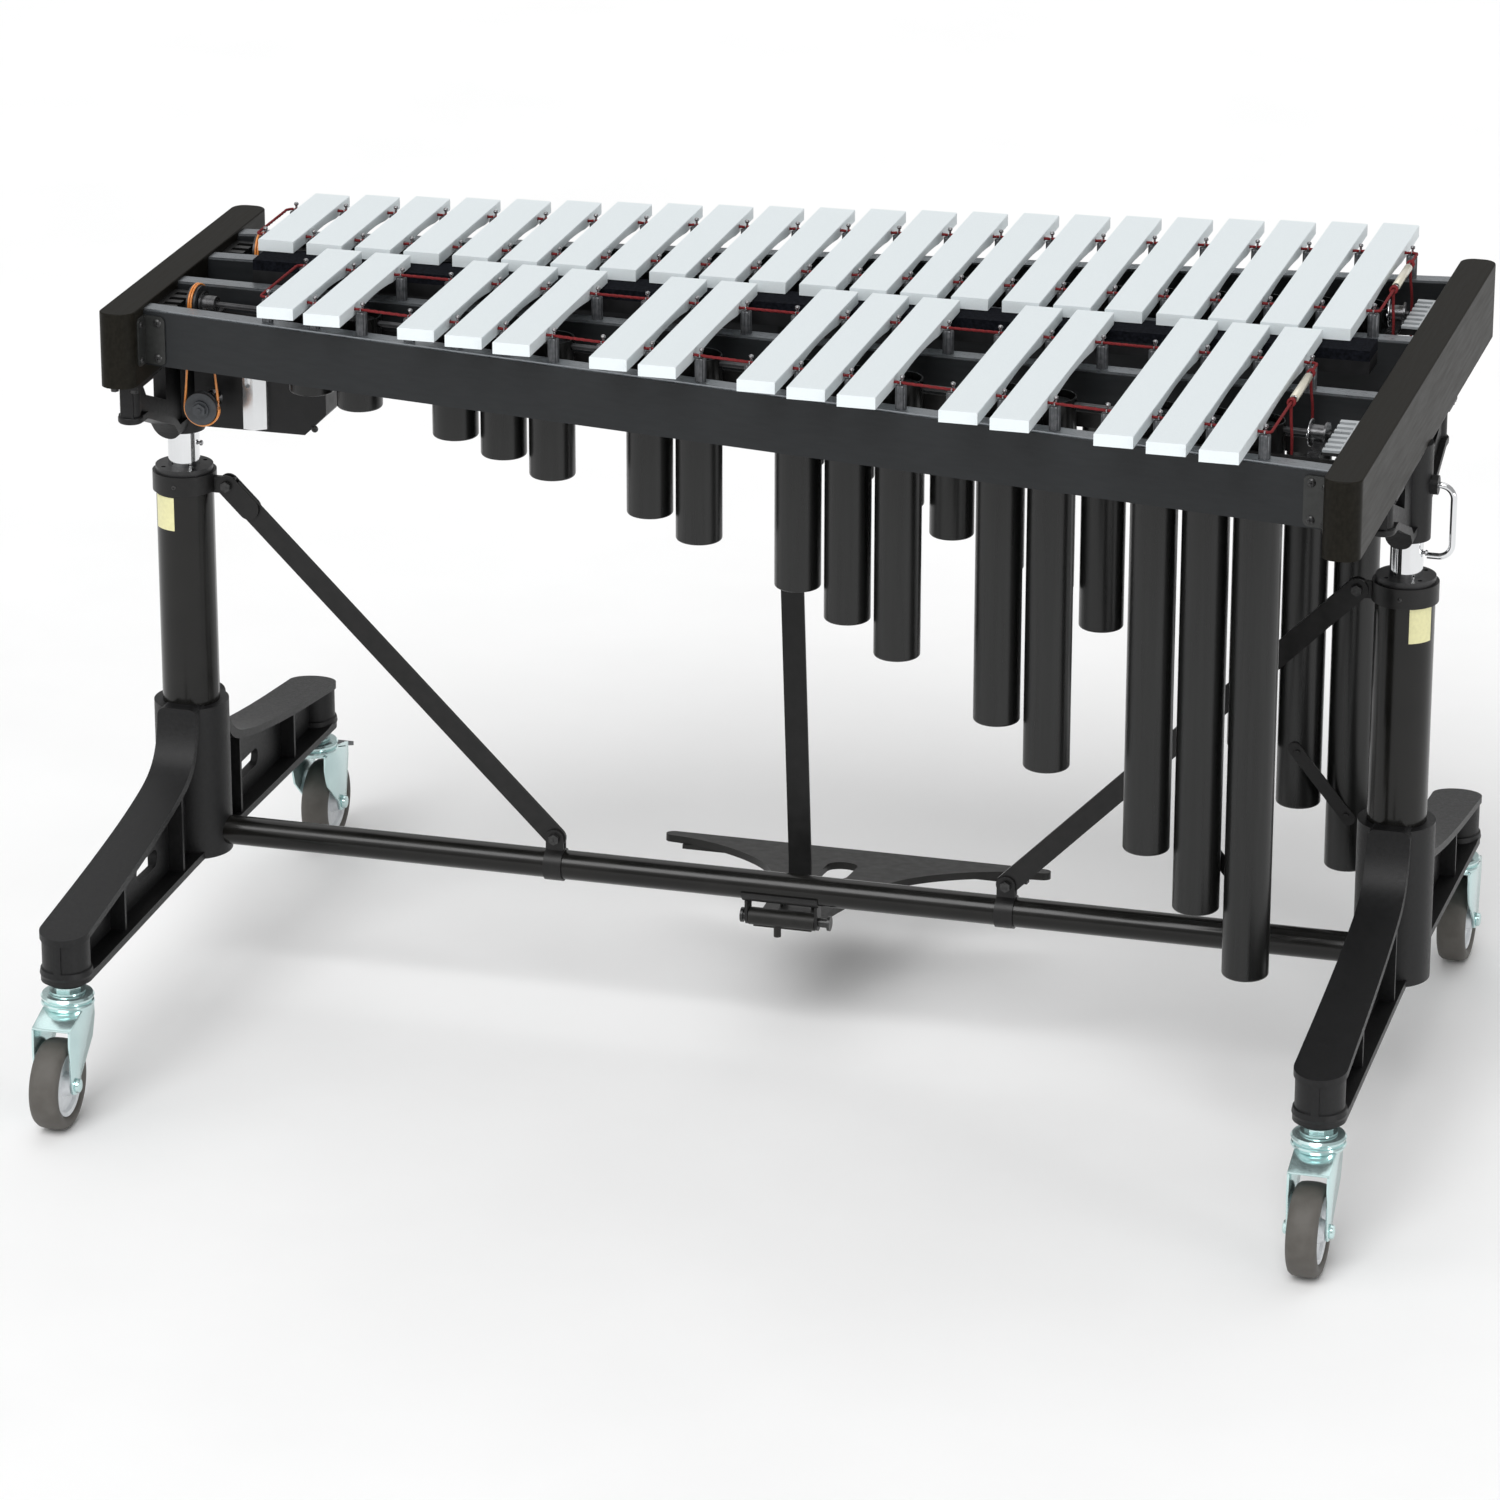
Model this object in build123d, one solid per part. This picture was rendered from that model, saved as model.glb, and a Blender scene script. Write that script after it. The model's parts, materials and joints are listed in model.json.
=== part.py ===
"""Three-octave vibraphone on a gas-spring stand with casters.

Frame: X runs along the keyboard with the low notes at +X, -Y faces the audience, +Y faces the player,
Z is up and the floor is z = 0.  The origin is midway between the two columns, on the floor.  All in mm.
"""
from build123d import *
import math
import os

# ---- keyboard -------------------------------------------------------------------------------------
BAR_PITCH = 53.8
BAR_WIDTH = 39.0
BAR_THICKNESS = 12.5
BAR_TOP = 844.0
LOW_BAR_X = 574.0
NATURAL_COUNT = 22
NATURAL_INNER_Y = (8.5, 13.0)
NATURAL_LENGTH = (390.0, 183.0)
ACCIDENTAL_STEPS = (0.5, 1.5, 2.5, 4.5, 5.5, 7.5, 8.5, 9.5, 11.5, 12.5, 14.5, 15.5, 16.5, 18.5, 19.5)
ACCIDENTAL_INNER_Y = -0.5
ACCIDENTAL_LENGTH = (415.5, 217.0)
NODE_FRACTION = 0.224
LOW_BANK_NATURALS = 11
LOW_BANK_ACCIDENTALS = 8
CORD_HOLE_RADIUS = 2.6
CORD_RADIUS = 1.5
CORD_Z = BAR_TOP - BAR_THICKNESS / 2
SPRING_Y = {"natural": (181.0, 270.0), "accidental": (-132.0, -224.0)}
SPRING_RADIUS = 4.2
TAIL_DRIFT = {"natural": (-9.0, 3.0), "accidental": (3.0, -3.0)}

# ---- upper frame ----------------------------------------------------------------------------------
COLUMN_X = 661.0
END_BLOCK_WIDTH = 38.0
END_BLOCK_TOP = 814.5
END_BLOCK_BOTTOM = 734.0
RIGHT_BLOCK_Y = (-389.0, 392.0)
LEFT_BLOCK_Y = (-195.0, 231.0)
RAIL_X = COLUMN_X - END_BLOCK_WIDTH / 2
RAIL_TOP = 809.0
RAIL_BOTTOM = 751.0
BRACKET_CORNER = 6.0
RAIL_THICKNESS = 24.0
RAIL_WALL = 3.0
STRIP_WIDTH = 19.0
STRIP_TOP = 811.0
POST_RADIUS = 6.0
POST_TOP = 835.5
HOOK_RADIUS = 1.7
HOOK_TOP = 845.0

# ---- resonators and fans --------------------------------------------------------------------------
SPEED_OF_SOUND = 343000.0
LOWEST_NATURAL_HZ = 174.61
TUBE_RADIUS = 24.0
TUBE_WALL = 1.5
TUBE_TOP = 811.0
TUBE_DATUM = 810.0
TUBE_STRETCH = 1.27
SCALE_FROM_F = (0, 2, 4, 6, 7, 9, 11)
FAN_SHAFT_Z = 804.0
FAN_SHAFT_RADIUS = 3.0
FAN_DISC_RADIUS = 19.0
FAN_PULLEY_RADIUS = 18.0
HIGH_PULLEY_X = -604.0
BEARING_X = (-589.0, 606.0)
BANK_RAIL_OFFSET = 28.0
BANK_RAIL_Z = (772.5, 788.0)
HANGER_SHEET = 2.5
HANGER_REACH = 23.0
# Half width and finger count of the comb at the high and low ends.
COMBS = {-1: (31.0, 4), 1: (50.0, 7)}
COMB_TOP = 805.0
BELT_GAP = 2.2

# ---- motor ----------------------------------------------------------------------------------------
MOTOR_X = -602.0
MOTOR_Z = 689.0
MOTOR_PULLEY_Y = 98.0
MOTOR_PULLEY_RADIUS = 17.5
BELT_RADIUS = 1.6
MOTOR_BOX = {"x": (-624.0, -478.0), "y": (-60.0, 60.0), "z": (656.0, 735.0)}
KNOB_X = -550.0
KNOB_Z = 700.0

# ---- columns --------------------------------------------------------------------------------------
COLUMN_RADIUS = 31.0
COLUMN_BORE = 28.0
COLUMN_TOP = 586.0
CAP_TOP = 592.0
LIFT_RADIUS = 17.0
LIFT_BORE = 14.0
LIFT_BOTTOM = 300.0
YOKE_BOTTOM = 632.0
YOKE_TOP = 733.9
YOKE_RADIUS = 23.5
ARM_BOSS_Y = 152.0
GUIDE_CLEARANCE = 0.08
LEVER_Z = 690.0
LEVER_RADIUS = 3.3

# ---- base -----------------------------------------------------------------------------------------
HUB_RADIUS = 40.5
HUB_BOTTOM = 152.0
HUB_TOP = 325.0
FOOT_Y = 388.0
FOOT_PROFILE = (
    (0, 147), (19.5, 147), (21, 148.5), (26, 154), (28, 160), (27, 165.5), (25.2, 166.5),
    (25.2, 215), (0, 215),
)
LEG_TOP = ((46, 328), (50, 298), (66, 272), (112, 251), (210, 231.5), (300, 218.5), (418, 203.5))
LEG_POCKET = ((39, 322), (43, 294), (59, 264), (108, 243), (208, 223.5), (300, 210.5), (419, 196))
LEG_RIBS = ((92, 252), (268, 218))
LEG_HALF_WIDTH = (22.5, 27.0)
CROSSBAR_RADIUS = 16.0
CROSSBAR_Z = 176.0
BRACE_TOP = (612.0, 572.0)
BRACE_FOOT = (249.0, 206.5)

# ---- casters --------------------------------------------------------------------------------------
WHEEL_RADIUS = 48.0
WHEEL_WIDTH = 32.0
CASTER_TRAIL = 37.0
AXLE_RADIUS = 5.0
STEM_RADIUS = 8.0
RUNNING = 0.06
BRAKE_OFFSET = 14.0
BRAKE_Z = 107.0

# ---- pedal and damper -----------------------------------------------------------------------------
PEDAL_X = 4.0
PEDAL_PIN_Z = 140.0
PEDAL_SLOPE = -7.2
PEDAL_PLATE = 8.0
STRAP_Y = 70.0
STRAP_WIDTH = 25.0
DAMPER_Y = (-20.0, 24.0)
DAMPER_X = (-570.0, 619.0)
DAMPER_BOTTOM = 806.0
FELT_BOTTOM = 820.0
FELT_TOP = 831.0

UP = (0, 0, 1)


# ---- small helpers --------------------------------------------------------------------------------
def block(x_span, y_span, z_span):
    """Axis-aligned block between three pairs of limits."""
    size = [span[1] - span[0] for span in (x_span, y_span, z_span)]
    centre = [sum(span) / 2 for span in (x_span, y_span, z_span)]
    return Pos(*centre) * Box(*size)


def rod(start, end, radius):
    """Round bar from one point to another."""
    axis = Vector(*end) - Vector(*start)
    return Plane(origin=start, z_dir=axis) * extrude(Circle(radius), axis.length)


def pipe(start, end, radius, bore):
    """Round tube from one point to another, open at both ends."""
    reach = (Vector(*end) - Vector(*start)).normalized()
    return rod(start, end, radius) - rod(Vector(*start) - reach, Vector(*end) + reach, bore)


def hexagon(start, end, across_corners):
    """Hexagonal bar, such as a nut or bolt head."""
    axis = Vector(*end) - Vector(*start)
    return Plane(origin=start, z_dir=axis) * extrude(RegularPolygon(across_corners / 2, 6), axis.length)


def plate_yz(points, x_span):
    """Flat plate drawn in the YZ plane and thickened along X."""
    face = make_face(Polyline(*[(x_span[0], y, z) for y, z in points], close=True))
    return extrude(face, x_span[1] - x_span[0], dir=(1, 0, 0))


def plate_xz(points, y_span):
    """Flat plate drawn in the XZ plane and thickened along Y."""
    face = make_face(Polyline(*[(x, y_span[0], z) for x, z in points], close=True))
    return extrude(face, y_span[1] - y_span[0], dir=(0, 1, 0))


def save(name, *pieces):
    """Write one node, whose pieces stay separate solids."""
    solids = [solid for piece in pieces for solid in piece.solids()]
    export_step(Compound(solids), f"parts/{name}.step")


def blend_value(pair, fraction):
    """Straight-line value between a low-end and a high-end figure."""
    return pair[0] + (pair[1] - pair[0]) * fraction


# ---- keyboard geometry ----------------------------------------------------------------------------
def bar_x(step):
    return LOW_BAR_X - BAR_PITCH * step


def step_at(x):
    return (LOW_BAR_X - x) / BAR_PITCH


def natural_span(step):
    """Inner and outer end of a natural bar."""
    fraction = step / (NATURAL_COUNT - 1)
    inner = blend_value(NATURAL_INNER_Y, fraction)
    return inner, inner + blend_value(NATURAL_LENGTH, fraction)


def accidental_span(step):
    """Inner and outer end of an accidental bar."""
    first, last = ACCIDENTAL_STEPS[0], ACCIDENTAL_STEPS[-1]
    length = blend_value(ACCIDENTAL_LENGTH, (step - first) / (last - first))
    return ACCIDENTAL_INNER_Y, ACCIDENTAL_INNER_Y - length


ROWS = {"natural": natural_span, "accidental": accidental_span}


def node_y(row, side, x):
    """Height-independent path of a nodal line: side 0 is the inner line, 1 the outer line."""
    inner, outer = ROWS[row](step_at(x))
    reach = (outer - inner) * NODE_FRACTION
    return inner + reach if side == 0 else outer - reach


def centre_y(row, x):
    return sum(ROWS[row](step_at(x))) / 2


def row_direction(row):
    """Unit vector along the middle of a row, from the low end to the high end."""
    return Vector(-1.0, centre_y(row, -0.5) - centre_y(row, 0.5), 0.0).normalized()


def row_normal(row):
    """Level unit vector square to a row, towards the player."""
    along = row_direction(row)
    return Vector(along.Y, -along.X, 0.0)


def bar(row, step):
    """Tuned bar with an arched underside and two cord holes on the nodal lines."""
    x = bar_x(step)
    inner, outer = ROWS[row](step)
    low, high = sorted((inner, outer))
    length = high - low
    half = BAR_WIDTH / 2
    body = block((x - half, x + half), (low, high), (BAR_TOP - BAR_THICKNESS, BAR_TOP))
    body = fillet(body.edges().filter_by(Axis.Y).group_by(Axis.Z)[-1], 1.0)
    arch_half = length * 0.24
    arch_depth = 1.5 + length / 120.0
    arch_radius = (arch_half ** 2 + arch_depth ** 2) / (2 * arch_depth)
    arch_z = BAR_TOP - BAR_THICKNESS + arch_depth - arch_radius
    middle = (low + high) / 2
    body -= rod((x - half - 1, middle, arch_z), (x + half + 1, middle, arch_z), arch_radius)
    for side in (0, 1):
        ends = [(x + reach, node_y(row, side, x + reach), CORD_Z) for reach in (-half - 3, half + 3)]
        body -= rod(*ends, CORD_HOLE_RADIUS)
    return body


def make_bars():
    naturals = range(NATURAL_COUNT)
    save("natural_bars_low", *[bar("natural", step) for step in naturals[:LOW_BANK_NATURALS]])
    save("natural_bars_high", *[bar("natural", step) for step in naturals[LOW_BANK_NATURALS:]])
    low = ACCIDENTAL_STEPS[:LOW_BANK_ACCIDENTALS]
    high = ACCIDENTAL_STEPS[LOW_BANK_ACCIDENTALS:]
    save("accidental_bars_low", *[bar("accidental", step) for step in low])
    save("accidental_bars_high", *[bar("accidental", step) for step in high])


# ---- rails, end blocks and brackets ---------------------------------------------------------------
def slanted_bar(row, side, half_width, z_span, x_limit=RAIL_X):
    """Straight bar that follows a nodal line, cut square to the end blocks."""
    corners = []
    for x, offset in ((-x_limit, -1), (x_limit, -1), (x_limit, 1), (-x_limit, 1)):
        corners.append((x, node_y(row, side, x) + offset * half_width, z_span[0]))
    return extrude(make_face(Polyline(*corners, close=True)), z_span[1] - z_span[0], dir=UP)


def rail(row, side):
    """Hollow frame rail under one nodal line."""
    body = slanted_bar(row, side, RAIL_THICKNESS / 2, (RAIL_BOTTOM, RAIL_TOP))
    inside = (RAIL_BOTTOM + RAIL_WALL, RAIL_TOP - RAIL_WALL)
    return body - slanted_bar(row, side, RAIL_THICKNESS / 2 - RAIL_WALL, inside)


def end_block(x, y_span):
    """Rounded hardwood block that closes one end of the frame."""
    plan = RectangleRounded(END_BLOCK_WIDTH, y_span[1] - y_span[0], 15.0)
    body = Pos(x, sum(y_span) / 2, END_BLOCK_BOTTOM) * extrude(plan, END_BLOCK_TOP - END_BLOCK_BOTTOM)
    return fillet(body.edges().group_by(Axis.Z)[-1], 1.5)


def corner_bracket(row, side, end):
    """Angle that ties a rail to an end block; end is -1 on the left and 1 on the right."""
    outward = 1 if row == "natural" else -1
    z_span = (753.0, 805.0)
    reach = 25.0
    near, far = end * RAIL_X, end * (RAIL_X - reach)
    face = [node_y(row, side, x) + outward * RAIL_THICKNESS / 2 for x in (near, far)]
    corners = [
        (near, face[0], z_span[0]),
        (far, face[1], z_span[0]),
        (far, face[1] + outward * 2.0, z_span[0]),
        (near - end * 2.0, face[0] + outward * 2.0, z_span[0]),
        (near - end * 2.0, face[0] + outward * 20.0, z_span[0]),
        (near, face[0] + outward * 20.0, z_span[0]),
    ]
    body = extrude(make_face(Polyline(*corners, close=True)), z_span[1] - z_span[0], dir=UP)
    lip = face[0] + outward * 20.0
    free_edges = body.edges().filter_by(Axis.Y).filter_by_position(Axis.X, far - 0.1, far + 0.1)
    free_edges += body.edges().filter_by(Axis.X).filter_by_position(Axis.Y, lip - 0.1, lip + 0.1)
    return fillet(free_edges, BRACKET_CORNER)


def bracket_screws(row, side, end):
    """Pan-head screws through a corner bracket into its rail."""
    outward = 1 if row == "natural" else -1
    x = end * (RAIL_X - 17.0)
    face = node_y(row, side, x) + outward * (RAIL_THICKNESS / 2 + 2.7)
    for z in (760.0, 798.0):
        yield rod((x, face, z), (x, face + outward * 2.2, z), 3.6)


def make_frame():
    save("front_rail", rail("accidental", 1))
    save("back_rail", rail("natural", 1))
    save("inner_rails", rail("accidental", 0), rail("natural", 0))
    lines = [(row, side) for row in ROWS for side in (0, 1)]
    strips = [slanted_bar(*line, STRIP_WIDTH / 2, (RAIL_TOP, STRIP_TOP)) for line in lines]
    save("rail_strips", *strips)
    save("left_end_block", end_block(-COLUMN_X, LEFT_BLOCK_Y))
    save("right_end_block", end_block(COLUMN_X, RIGHT_BLOCK_Y))
    outer_corners = [(row, 1, end) for row in ROWS for end in (-1, 1)]
    save("corner_brackets", *[corner_bracket(*corner) for corner in outer_corners])
    screws = [screw for corner in outer_corners for screw in bracket_screws(*corner)]
    for x in (-COLUMN_X, COLUMN_X):
        for y in (-167.0, 167.0):
            for reach in (-11.0, 11.0):
                screws.append(hexagon((x + reach, y, 722.5), (x + reach, y, 727.0), 9.0))
    save("frame_screws", *screws)


# ---- posts, cords and springs ---------------------------------------------------------------------
def post_steps(row):
    """Half-pitch positions that carry a post: between the bars and just outside the end bars."""
    if row == "natural":
        return [step - 0.5 for step in range(NATURAL_COUNT + 1)]
    taken = set(ACCIDENTAL_STEPS)
    spots = {step + shift for step in taken for shift in (-0.5, 0.5)}
    return sorted(spots)


def post(x, y):
    """Turned post with a hooked pin that carries the cord."""
    body = rod((x, y, STRIP_TOP), (x, y, POST_TOP), POST_RADIUS)
    pin = rod((x, y + 4.0, POST_TOP), (x, y + 4.0, HOOK_TOP - 1.0), HOOK_RADIUS)
    cap = rod((x, y + 4.0, HOOK_TOP - 1.0), (x, y + 4.0, HOOK_TOP), HOOK_RADIUS + 0.8)
    return body + pin + cap


def make_posts():
    posts = []
    for row in ROWS:
        for step in post_steps(row):
            x = bar_x(step)
            posts.extend(post(x, node_y(row, side, x)) for side in (0, 1))
    save("bar_posts", *posts)


def cord_ends(row):
    """X of the cord where it rounds the last posts at the low and the high end."""
    steps = post_steps(row)
    return bar_x(steps[0]) + 6.0, bar_x(steps[-1]) - 8.0


def cord(row):
    """One cord through both nodal lines of a row, open at the low end where its spring sits."""
    low_x, high_x = cord_ends(row)
    spring = SPRING_Y[row]
    points = [(low_x, spring[0], CORD_Z), (low_x, node_y(row, 0, low_x), CORD_Z)]
    points.append((high_x, node_y(row, 0, high_x), CORD_Z))
    points.append((high_x, node_y(row, 1, high_x), CORD_Z))
    points += [(low_x, node_y(row, 1, low_x), CORD_Z), (low_x, spring[1], CORD_Z)]
    path = FilletPolyline(*points, radius=5.0)
    start = Plane(origin=path @ 0, z_dir=path % 0)
    return sweep(start * Circle(CORD_RADIUS), path)


def cord_spring(row):
    """Tension spring in its sleeve, between the two ends of the cord."""
    low_x = cord_ends(row)[0]
    return rod(*[(low_x, y, CORD_Z) for y in SPRING_Y[row]], SPRING_RADIUS)


def cord_tail(row, side):
    """Knotted end of the cord that hangs down from the spring."""
    x = cord_ends(row)[0]
    drift = TAIL_DRIFT[row][side]
    y = SPRING_Y[row][side] + math.copysign(4.0, drift)
    top = CORD_Z - CORD_RADIUS - 0.3
    points = [(x, y, top), (x, y + drift * 0.2, top - 14.0), (x + 2.5, y + drift * 0.8, top - 34.0)]
    points += [(x + 2.0, y + drift, top - 60.0), (x + 3.0, y + drift * 0.9, top - 92.0)]
    path = FilletPolyline(*points, radius=20.0)
    return sweep(Plane(origin=path @ 0, z_dir=path % 0) * Circle(CORD_RADIUS), path)


def make_cords():
    save("suspension_cords", *[cord(row) for row in ROWS])
    save("cord_springs", *[cord_spring(row) for row in ROWS])
    save("cord_tails", *[cord_tail(row, side) for row in ROWS for side in (0, 1)])


# ---- resonators -----------------------------------------------------------------------------------
def quarter_wave(semitones):
    """Length of a stopped pipe that sounds the note this far above the lowest natural."""
    return SPEED_OF_SOUND / (4 * LOWEST_NATURAL_HZ * 2 ** (semitones / 12))


def semitones_above_low(step):
    """Note number of a bar, with a sharp half a step above its natural."""
    octave, degree = divmod(math.floor(step), len(SCALE_FROM_F))
    sharp = 1 if step != math.floor(step) else 0
    return 12 * octave + SCALE_FROM_F[degree] + sharp


def resonator(row, step):
    """Closed tube under one bar, with holes for the fan shaft and a tuned stopper inside."""
    x = bar_x(step)
    y = centre_y(row, x)
    quarter = quarter_wave(semitones_above_low(step))
    bottom = TUBE_DATUM - TUBE_STRETCH * quarter
    outside = fillet(rod((x, y, bottom), (x, y, TUBE_TOP), TUBE_RADIUS).edges().group_by(Axis.Z)[0], 3.0)
    tube = outside - rod((x, y, bottom + 2.0), (x, y, TUBE_TOP + 1), TUBE_RADIUS - TUBE_WALL)
    along = row_direction(row) * (TUBE_RADIUS + 5)
    middle = Vector(x, y, FAN_SHAFT_Z)
    tube -= rod(middle - along, middle + along, FAN_SHAFT_RADIUS + 2.0)
    stop_z = bottom + 2.5
    stopper = rod((x, y, stop_z), (x, y, stop_z + 5.0), TUBE_RADIUS - TUBE_WALL)
    return [tube, stopper]


def bank_rail(row, offset):
    """Flat bar along one side of a tube row, resting on the end hangers."""
    reach = RAIL_X - 4.0
    corners = []
    for x, edge in ((-reach, 0), (reach, 0), (reach, 3.0), (-reach, 3.0)):
        corners.append((x, centre_y(row, x) + offset + math.copysign(edge, offset), BANK_RAIL_Z[0]))
    return extrude(make_face(Polyline(*corners, close=True)), BANK_RAIL_Z[1] - BANK_RAIL_Z[0], dir=UP)


def tie_strap(row, steps, side):
    """Flat strap that links the bottoms of the longest tubes, with its rivets."""
    normal = row_normal(row) * side
    ends = []
    for step in steps:
        x = bar_x(step)
        bottom = TUBE_DATUM - TUBE_STRETCH * quarter_wave(semitones_above_low(step))
        ends.append(Vector(x, centre_y(row, x), bottom + 66.0) + normal * (TUBE_RADIUS + 0.1))
    run = ends[-1] - ends[0]
    plane = Plane(origin=(ends[0] + ends[-1]) / 2, x_dir=run, z_dir=normal)
    strap = plane * extrude(SlotOverall(run.length + 24.0, 14.0), 2.0)
    rivets = [rod(end, end + normal * 4.0, 3.0) for end in ends]
    return strap + rivets


def make_resonators():
    naturals = [piece for step in range(NATURAL_COUNT) for piece in resonator("natural", step)]
    accidentals = [piece for step in ACCIDENTAL_STEPS for piece in resonator("accidental", step)]
    save("natural_resonators", *naturals)
    save("accidental_resonators", *accidentals)
    rails = [bank_rail(row, side * BANK_RAIL_OFFSET) for row in ROWS for side in (-1, 1)]
    straps = [tie_strap("natural", (0, 1), -1), tie_strap("accidental", (0.5, 1.5), 1)]
    save("bank_rails", *rails, *straps)


# ---- fans and motor -------------------------------------------------------------------------------
def shaft_point(row, x):
    return Vector(x, centre_y(row, x), FAN_SHAFT_Z)


def fan_shaft(row):
    """Shaft along a tube row with its pulley; the discs lie flat across the tube mouths."""
    shaft_ends = shaft_point(row, HIGH_PULLEY_X - 9.0), shaft_point(row, BEARING_X[1] + 12.0)
    shaft = rod(*shaft_ends, FAN_SHAFT_RADIUS)
    middle = shaft_point(row, HIGH_PULLEY_X)
    along = row_direction(row)
    pulley = rod(middle - along * 5, middle + along * 5, FAN_PULLEY_RADIUS)
    groove = Plane(origin=middle, z_dir=along) * Torus(FAN_PULLEY_RADIUS + 0.6, 2.0)
    body = shaft + (pulley - groove)
    steps = range(NATURAL_COUNT) if row == "natural" else ACCIDENTAL_STEPS
    for step in steps:
        centre = shaft_point(row, bar_x(step))
        body += rod(centre - Vector(0, 0, 0.8), centre + Vector(0, 0, 0.8), FAN_DISC_RADIUS)
    return body


def shaft_bearing(row, x):
    """Flanged bearing housing on a foot that stands on the bank rails."""
    centre = shaft_point(row, x)
    outward = row_direction(row) * (-1 if x > 0 else 1)
    housing = rod(centre - outward * 7, centre + outward * 7, 8.5)
    flange = rod(centre + outward * 7, centre + outward * 9, 12.0)
    y = centre.Y
    reach = BANK_RAIL_OFFSET + 2.5
    foot = block((x - 6, x + 6), (y - reach, y + reach), (BANK_RAIL_Z[1], BANK_RAIL_Z[1] + 4.0))
    stalk = block((x - 5, x + 5), (y - 5, y + 5), (BANK_RAIL_Z[1], FAN_SHAFT_Z))
    bearing = housing + flange + foot + stalk
    return bearing - rod(centre - outward * 20, centre + outward * 20, FAN_SHAFT_RADIUS + RUNNING)


def hanger_plate(row, end):
    """Folded bracket on an end block: a shelf for the resonator bank and a comb of fingers above it."""
    x = end * RAIL_X
    y = centre_y(row, x)
    half, fingers = COMBS[end]
    tip = x - end * HANGER_REACH
    shelf_z = BANK_RAIL_Z[0]
    shelf = block(sorted((x, tip)), (y - half, y + half), (shelf_z - HANGER_SHEET, shelf_z))
    back = block(sorted((x, x - end * HANGER_SHEET)), (y - half, y + half), (shelf_z, COMB_TOP))
    comb = block(sorted((x, tip)), (y - half, y + half), (COMB_TOP - HANGER_SHEET, COMB_TOP))
    pitch = 2 * half / (2 * fingers - 1)
    for index in range(fingers - 1):
        gap = y - half + pitch * (2 * index + 1)
        x_span = sorted((x - end * 6.0, tip - end))
        comb -= block(x_span, (gap, gap + pitch), (COMB_TOP - 5, COMB_TOP + 1))
    return shelf + back + comb


def motor_pulleys():
    """Through shaft of the motor with a grooved pulley and a lock nut at each end."""
    body = rod((MOTOR_X, -MOTOR_PULLEY_Y - 12, MOTOR_Z), (MOTOR_X, MOTOR_PULLEY_Y + 12, MOTOR_Z), 3.0)
    for side in (-1, 1):
        y = side * MOTOR_PULLEY_Y
        wheel = rod((MOTOR_X, y - 5, MOTOR_Z), (MOTOR_X, y + 5, MOTOR_Z), MOTOR_PULLEY_RADIUS)
        wheel -= Plane(origin=(MOTOR_X, y, MOTOR_Z), z_dir=(0, 1, 0)) * Torus(MOTOR_PULLEY_RADIUS + 0.6, 2.0)
        outside = y + side * 5
        hub = rod((MOTOR_X, outside, MOTOR_Z), (MOTOR_X, outside + side * 2.5, MOTOR_Z), 9.5)
        nut = hexagon((MOTOR_X, outside, MOTOR_Z), (MOTOR_X, outside + side * 6.0, MOTOR_Z), 15.0)
        body += wheel + hub + nut
    return body


def drive_belt(row):
    """Round belt with a quarter twist from a motor pulley up to a fan pulley."""
    side = 1 if row == "natural" else -1
    upper = shaft_point(row, HIGH_PULLEY_X)
    lower = Vector(MOTOR_X, side * MOTOR_PULLEY_Y, MOTOR_Z)
    low_r = MOTOR_PULLEY_RADIUS + BELT_GAP
    high_r = FAN_PULLEY_RADIUS + BELT_GAP
    lower_loop = Plane(origin=lower, z_dir=(0, 1, 0)) * Torus(low_r, BELT_RADIUS)
    lower_loop &= block((lower.X - 30, lower.X + 30), (lower.Y - 9, lower.Y + 9), (lower.Z - 30, lower.Z))
    upper_loop = Plane(origin=upper, z_dir=row_direction(row)) * Torus(high_r, BELT_RADIUS)
    upper_loop &= block((upper.X - 30, upper.X + 30), (upper.Y - 30, upper.Y + 30), (upper.Z, upper.Z + 30))
    belt = lower_loop + upper_loop
    across = row_normal(row)
    for hand in (-1, 1):
        start = lower + Vector(hand * low_r, 0, 0)
        end = upper + across * (hand * high_r)
        belt += rod(start, end, BELT_RADIUS)
        belt += Pos(*start) * Sphere(BELT_RADIUS * 1.01)
        belt += Pos(*end) * Sphere(BELT_RADIUS * 1.01)
    return belt


def motor_housing():
    """Folded sheet box with one chamfered corner, hung under the high end."""
    x0, x1 = MOTOR_BOX["x"]
    z0, z1 = MOTOR_BOX["z"]
    wall, cut = 2.5, 24.0
    outline = [(x0, z0), (x1 - cut, z0), (x1, z0 + cut), (x1, z1), (x0, z1)]
    inner = [(x0 + wall, z0 + wall), (x1 - cut - 1, z0 + wall), (x1 - wall, z0 + cut + 1)]
    inner += [(x1 - wall, z1 - wall), (x0 + wall, z1 - wall)]
    y0, y1 = MOTOR_BOX["y"]
    body = plate_xz(outline, (y0, y1)) - plate_xz(inner, (y0 + wall, y1 - wall))
    body -= rod((MOTOR_X, y0 - 1, MOTOR_Z), (MOTOR_X, y1 + 1, MOTOR_Z), 9.0)
    return body - rod((KNOB_X, y1 - 4, KNOB_Z), (KNOB_X, y1 + 1, KNOB_Z), 3.0 + RUNNING)


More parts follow.
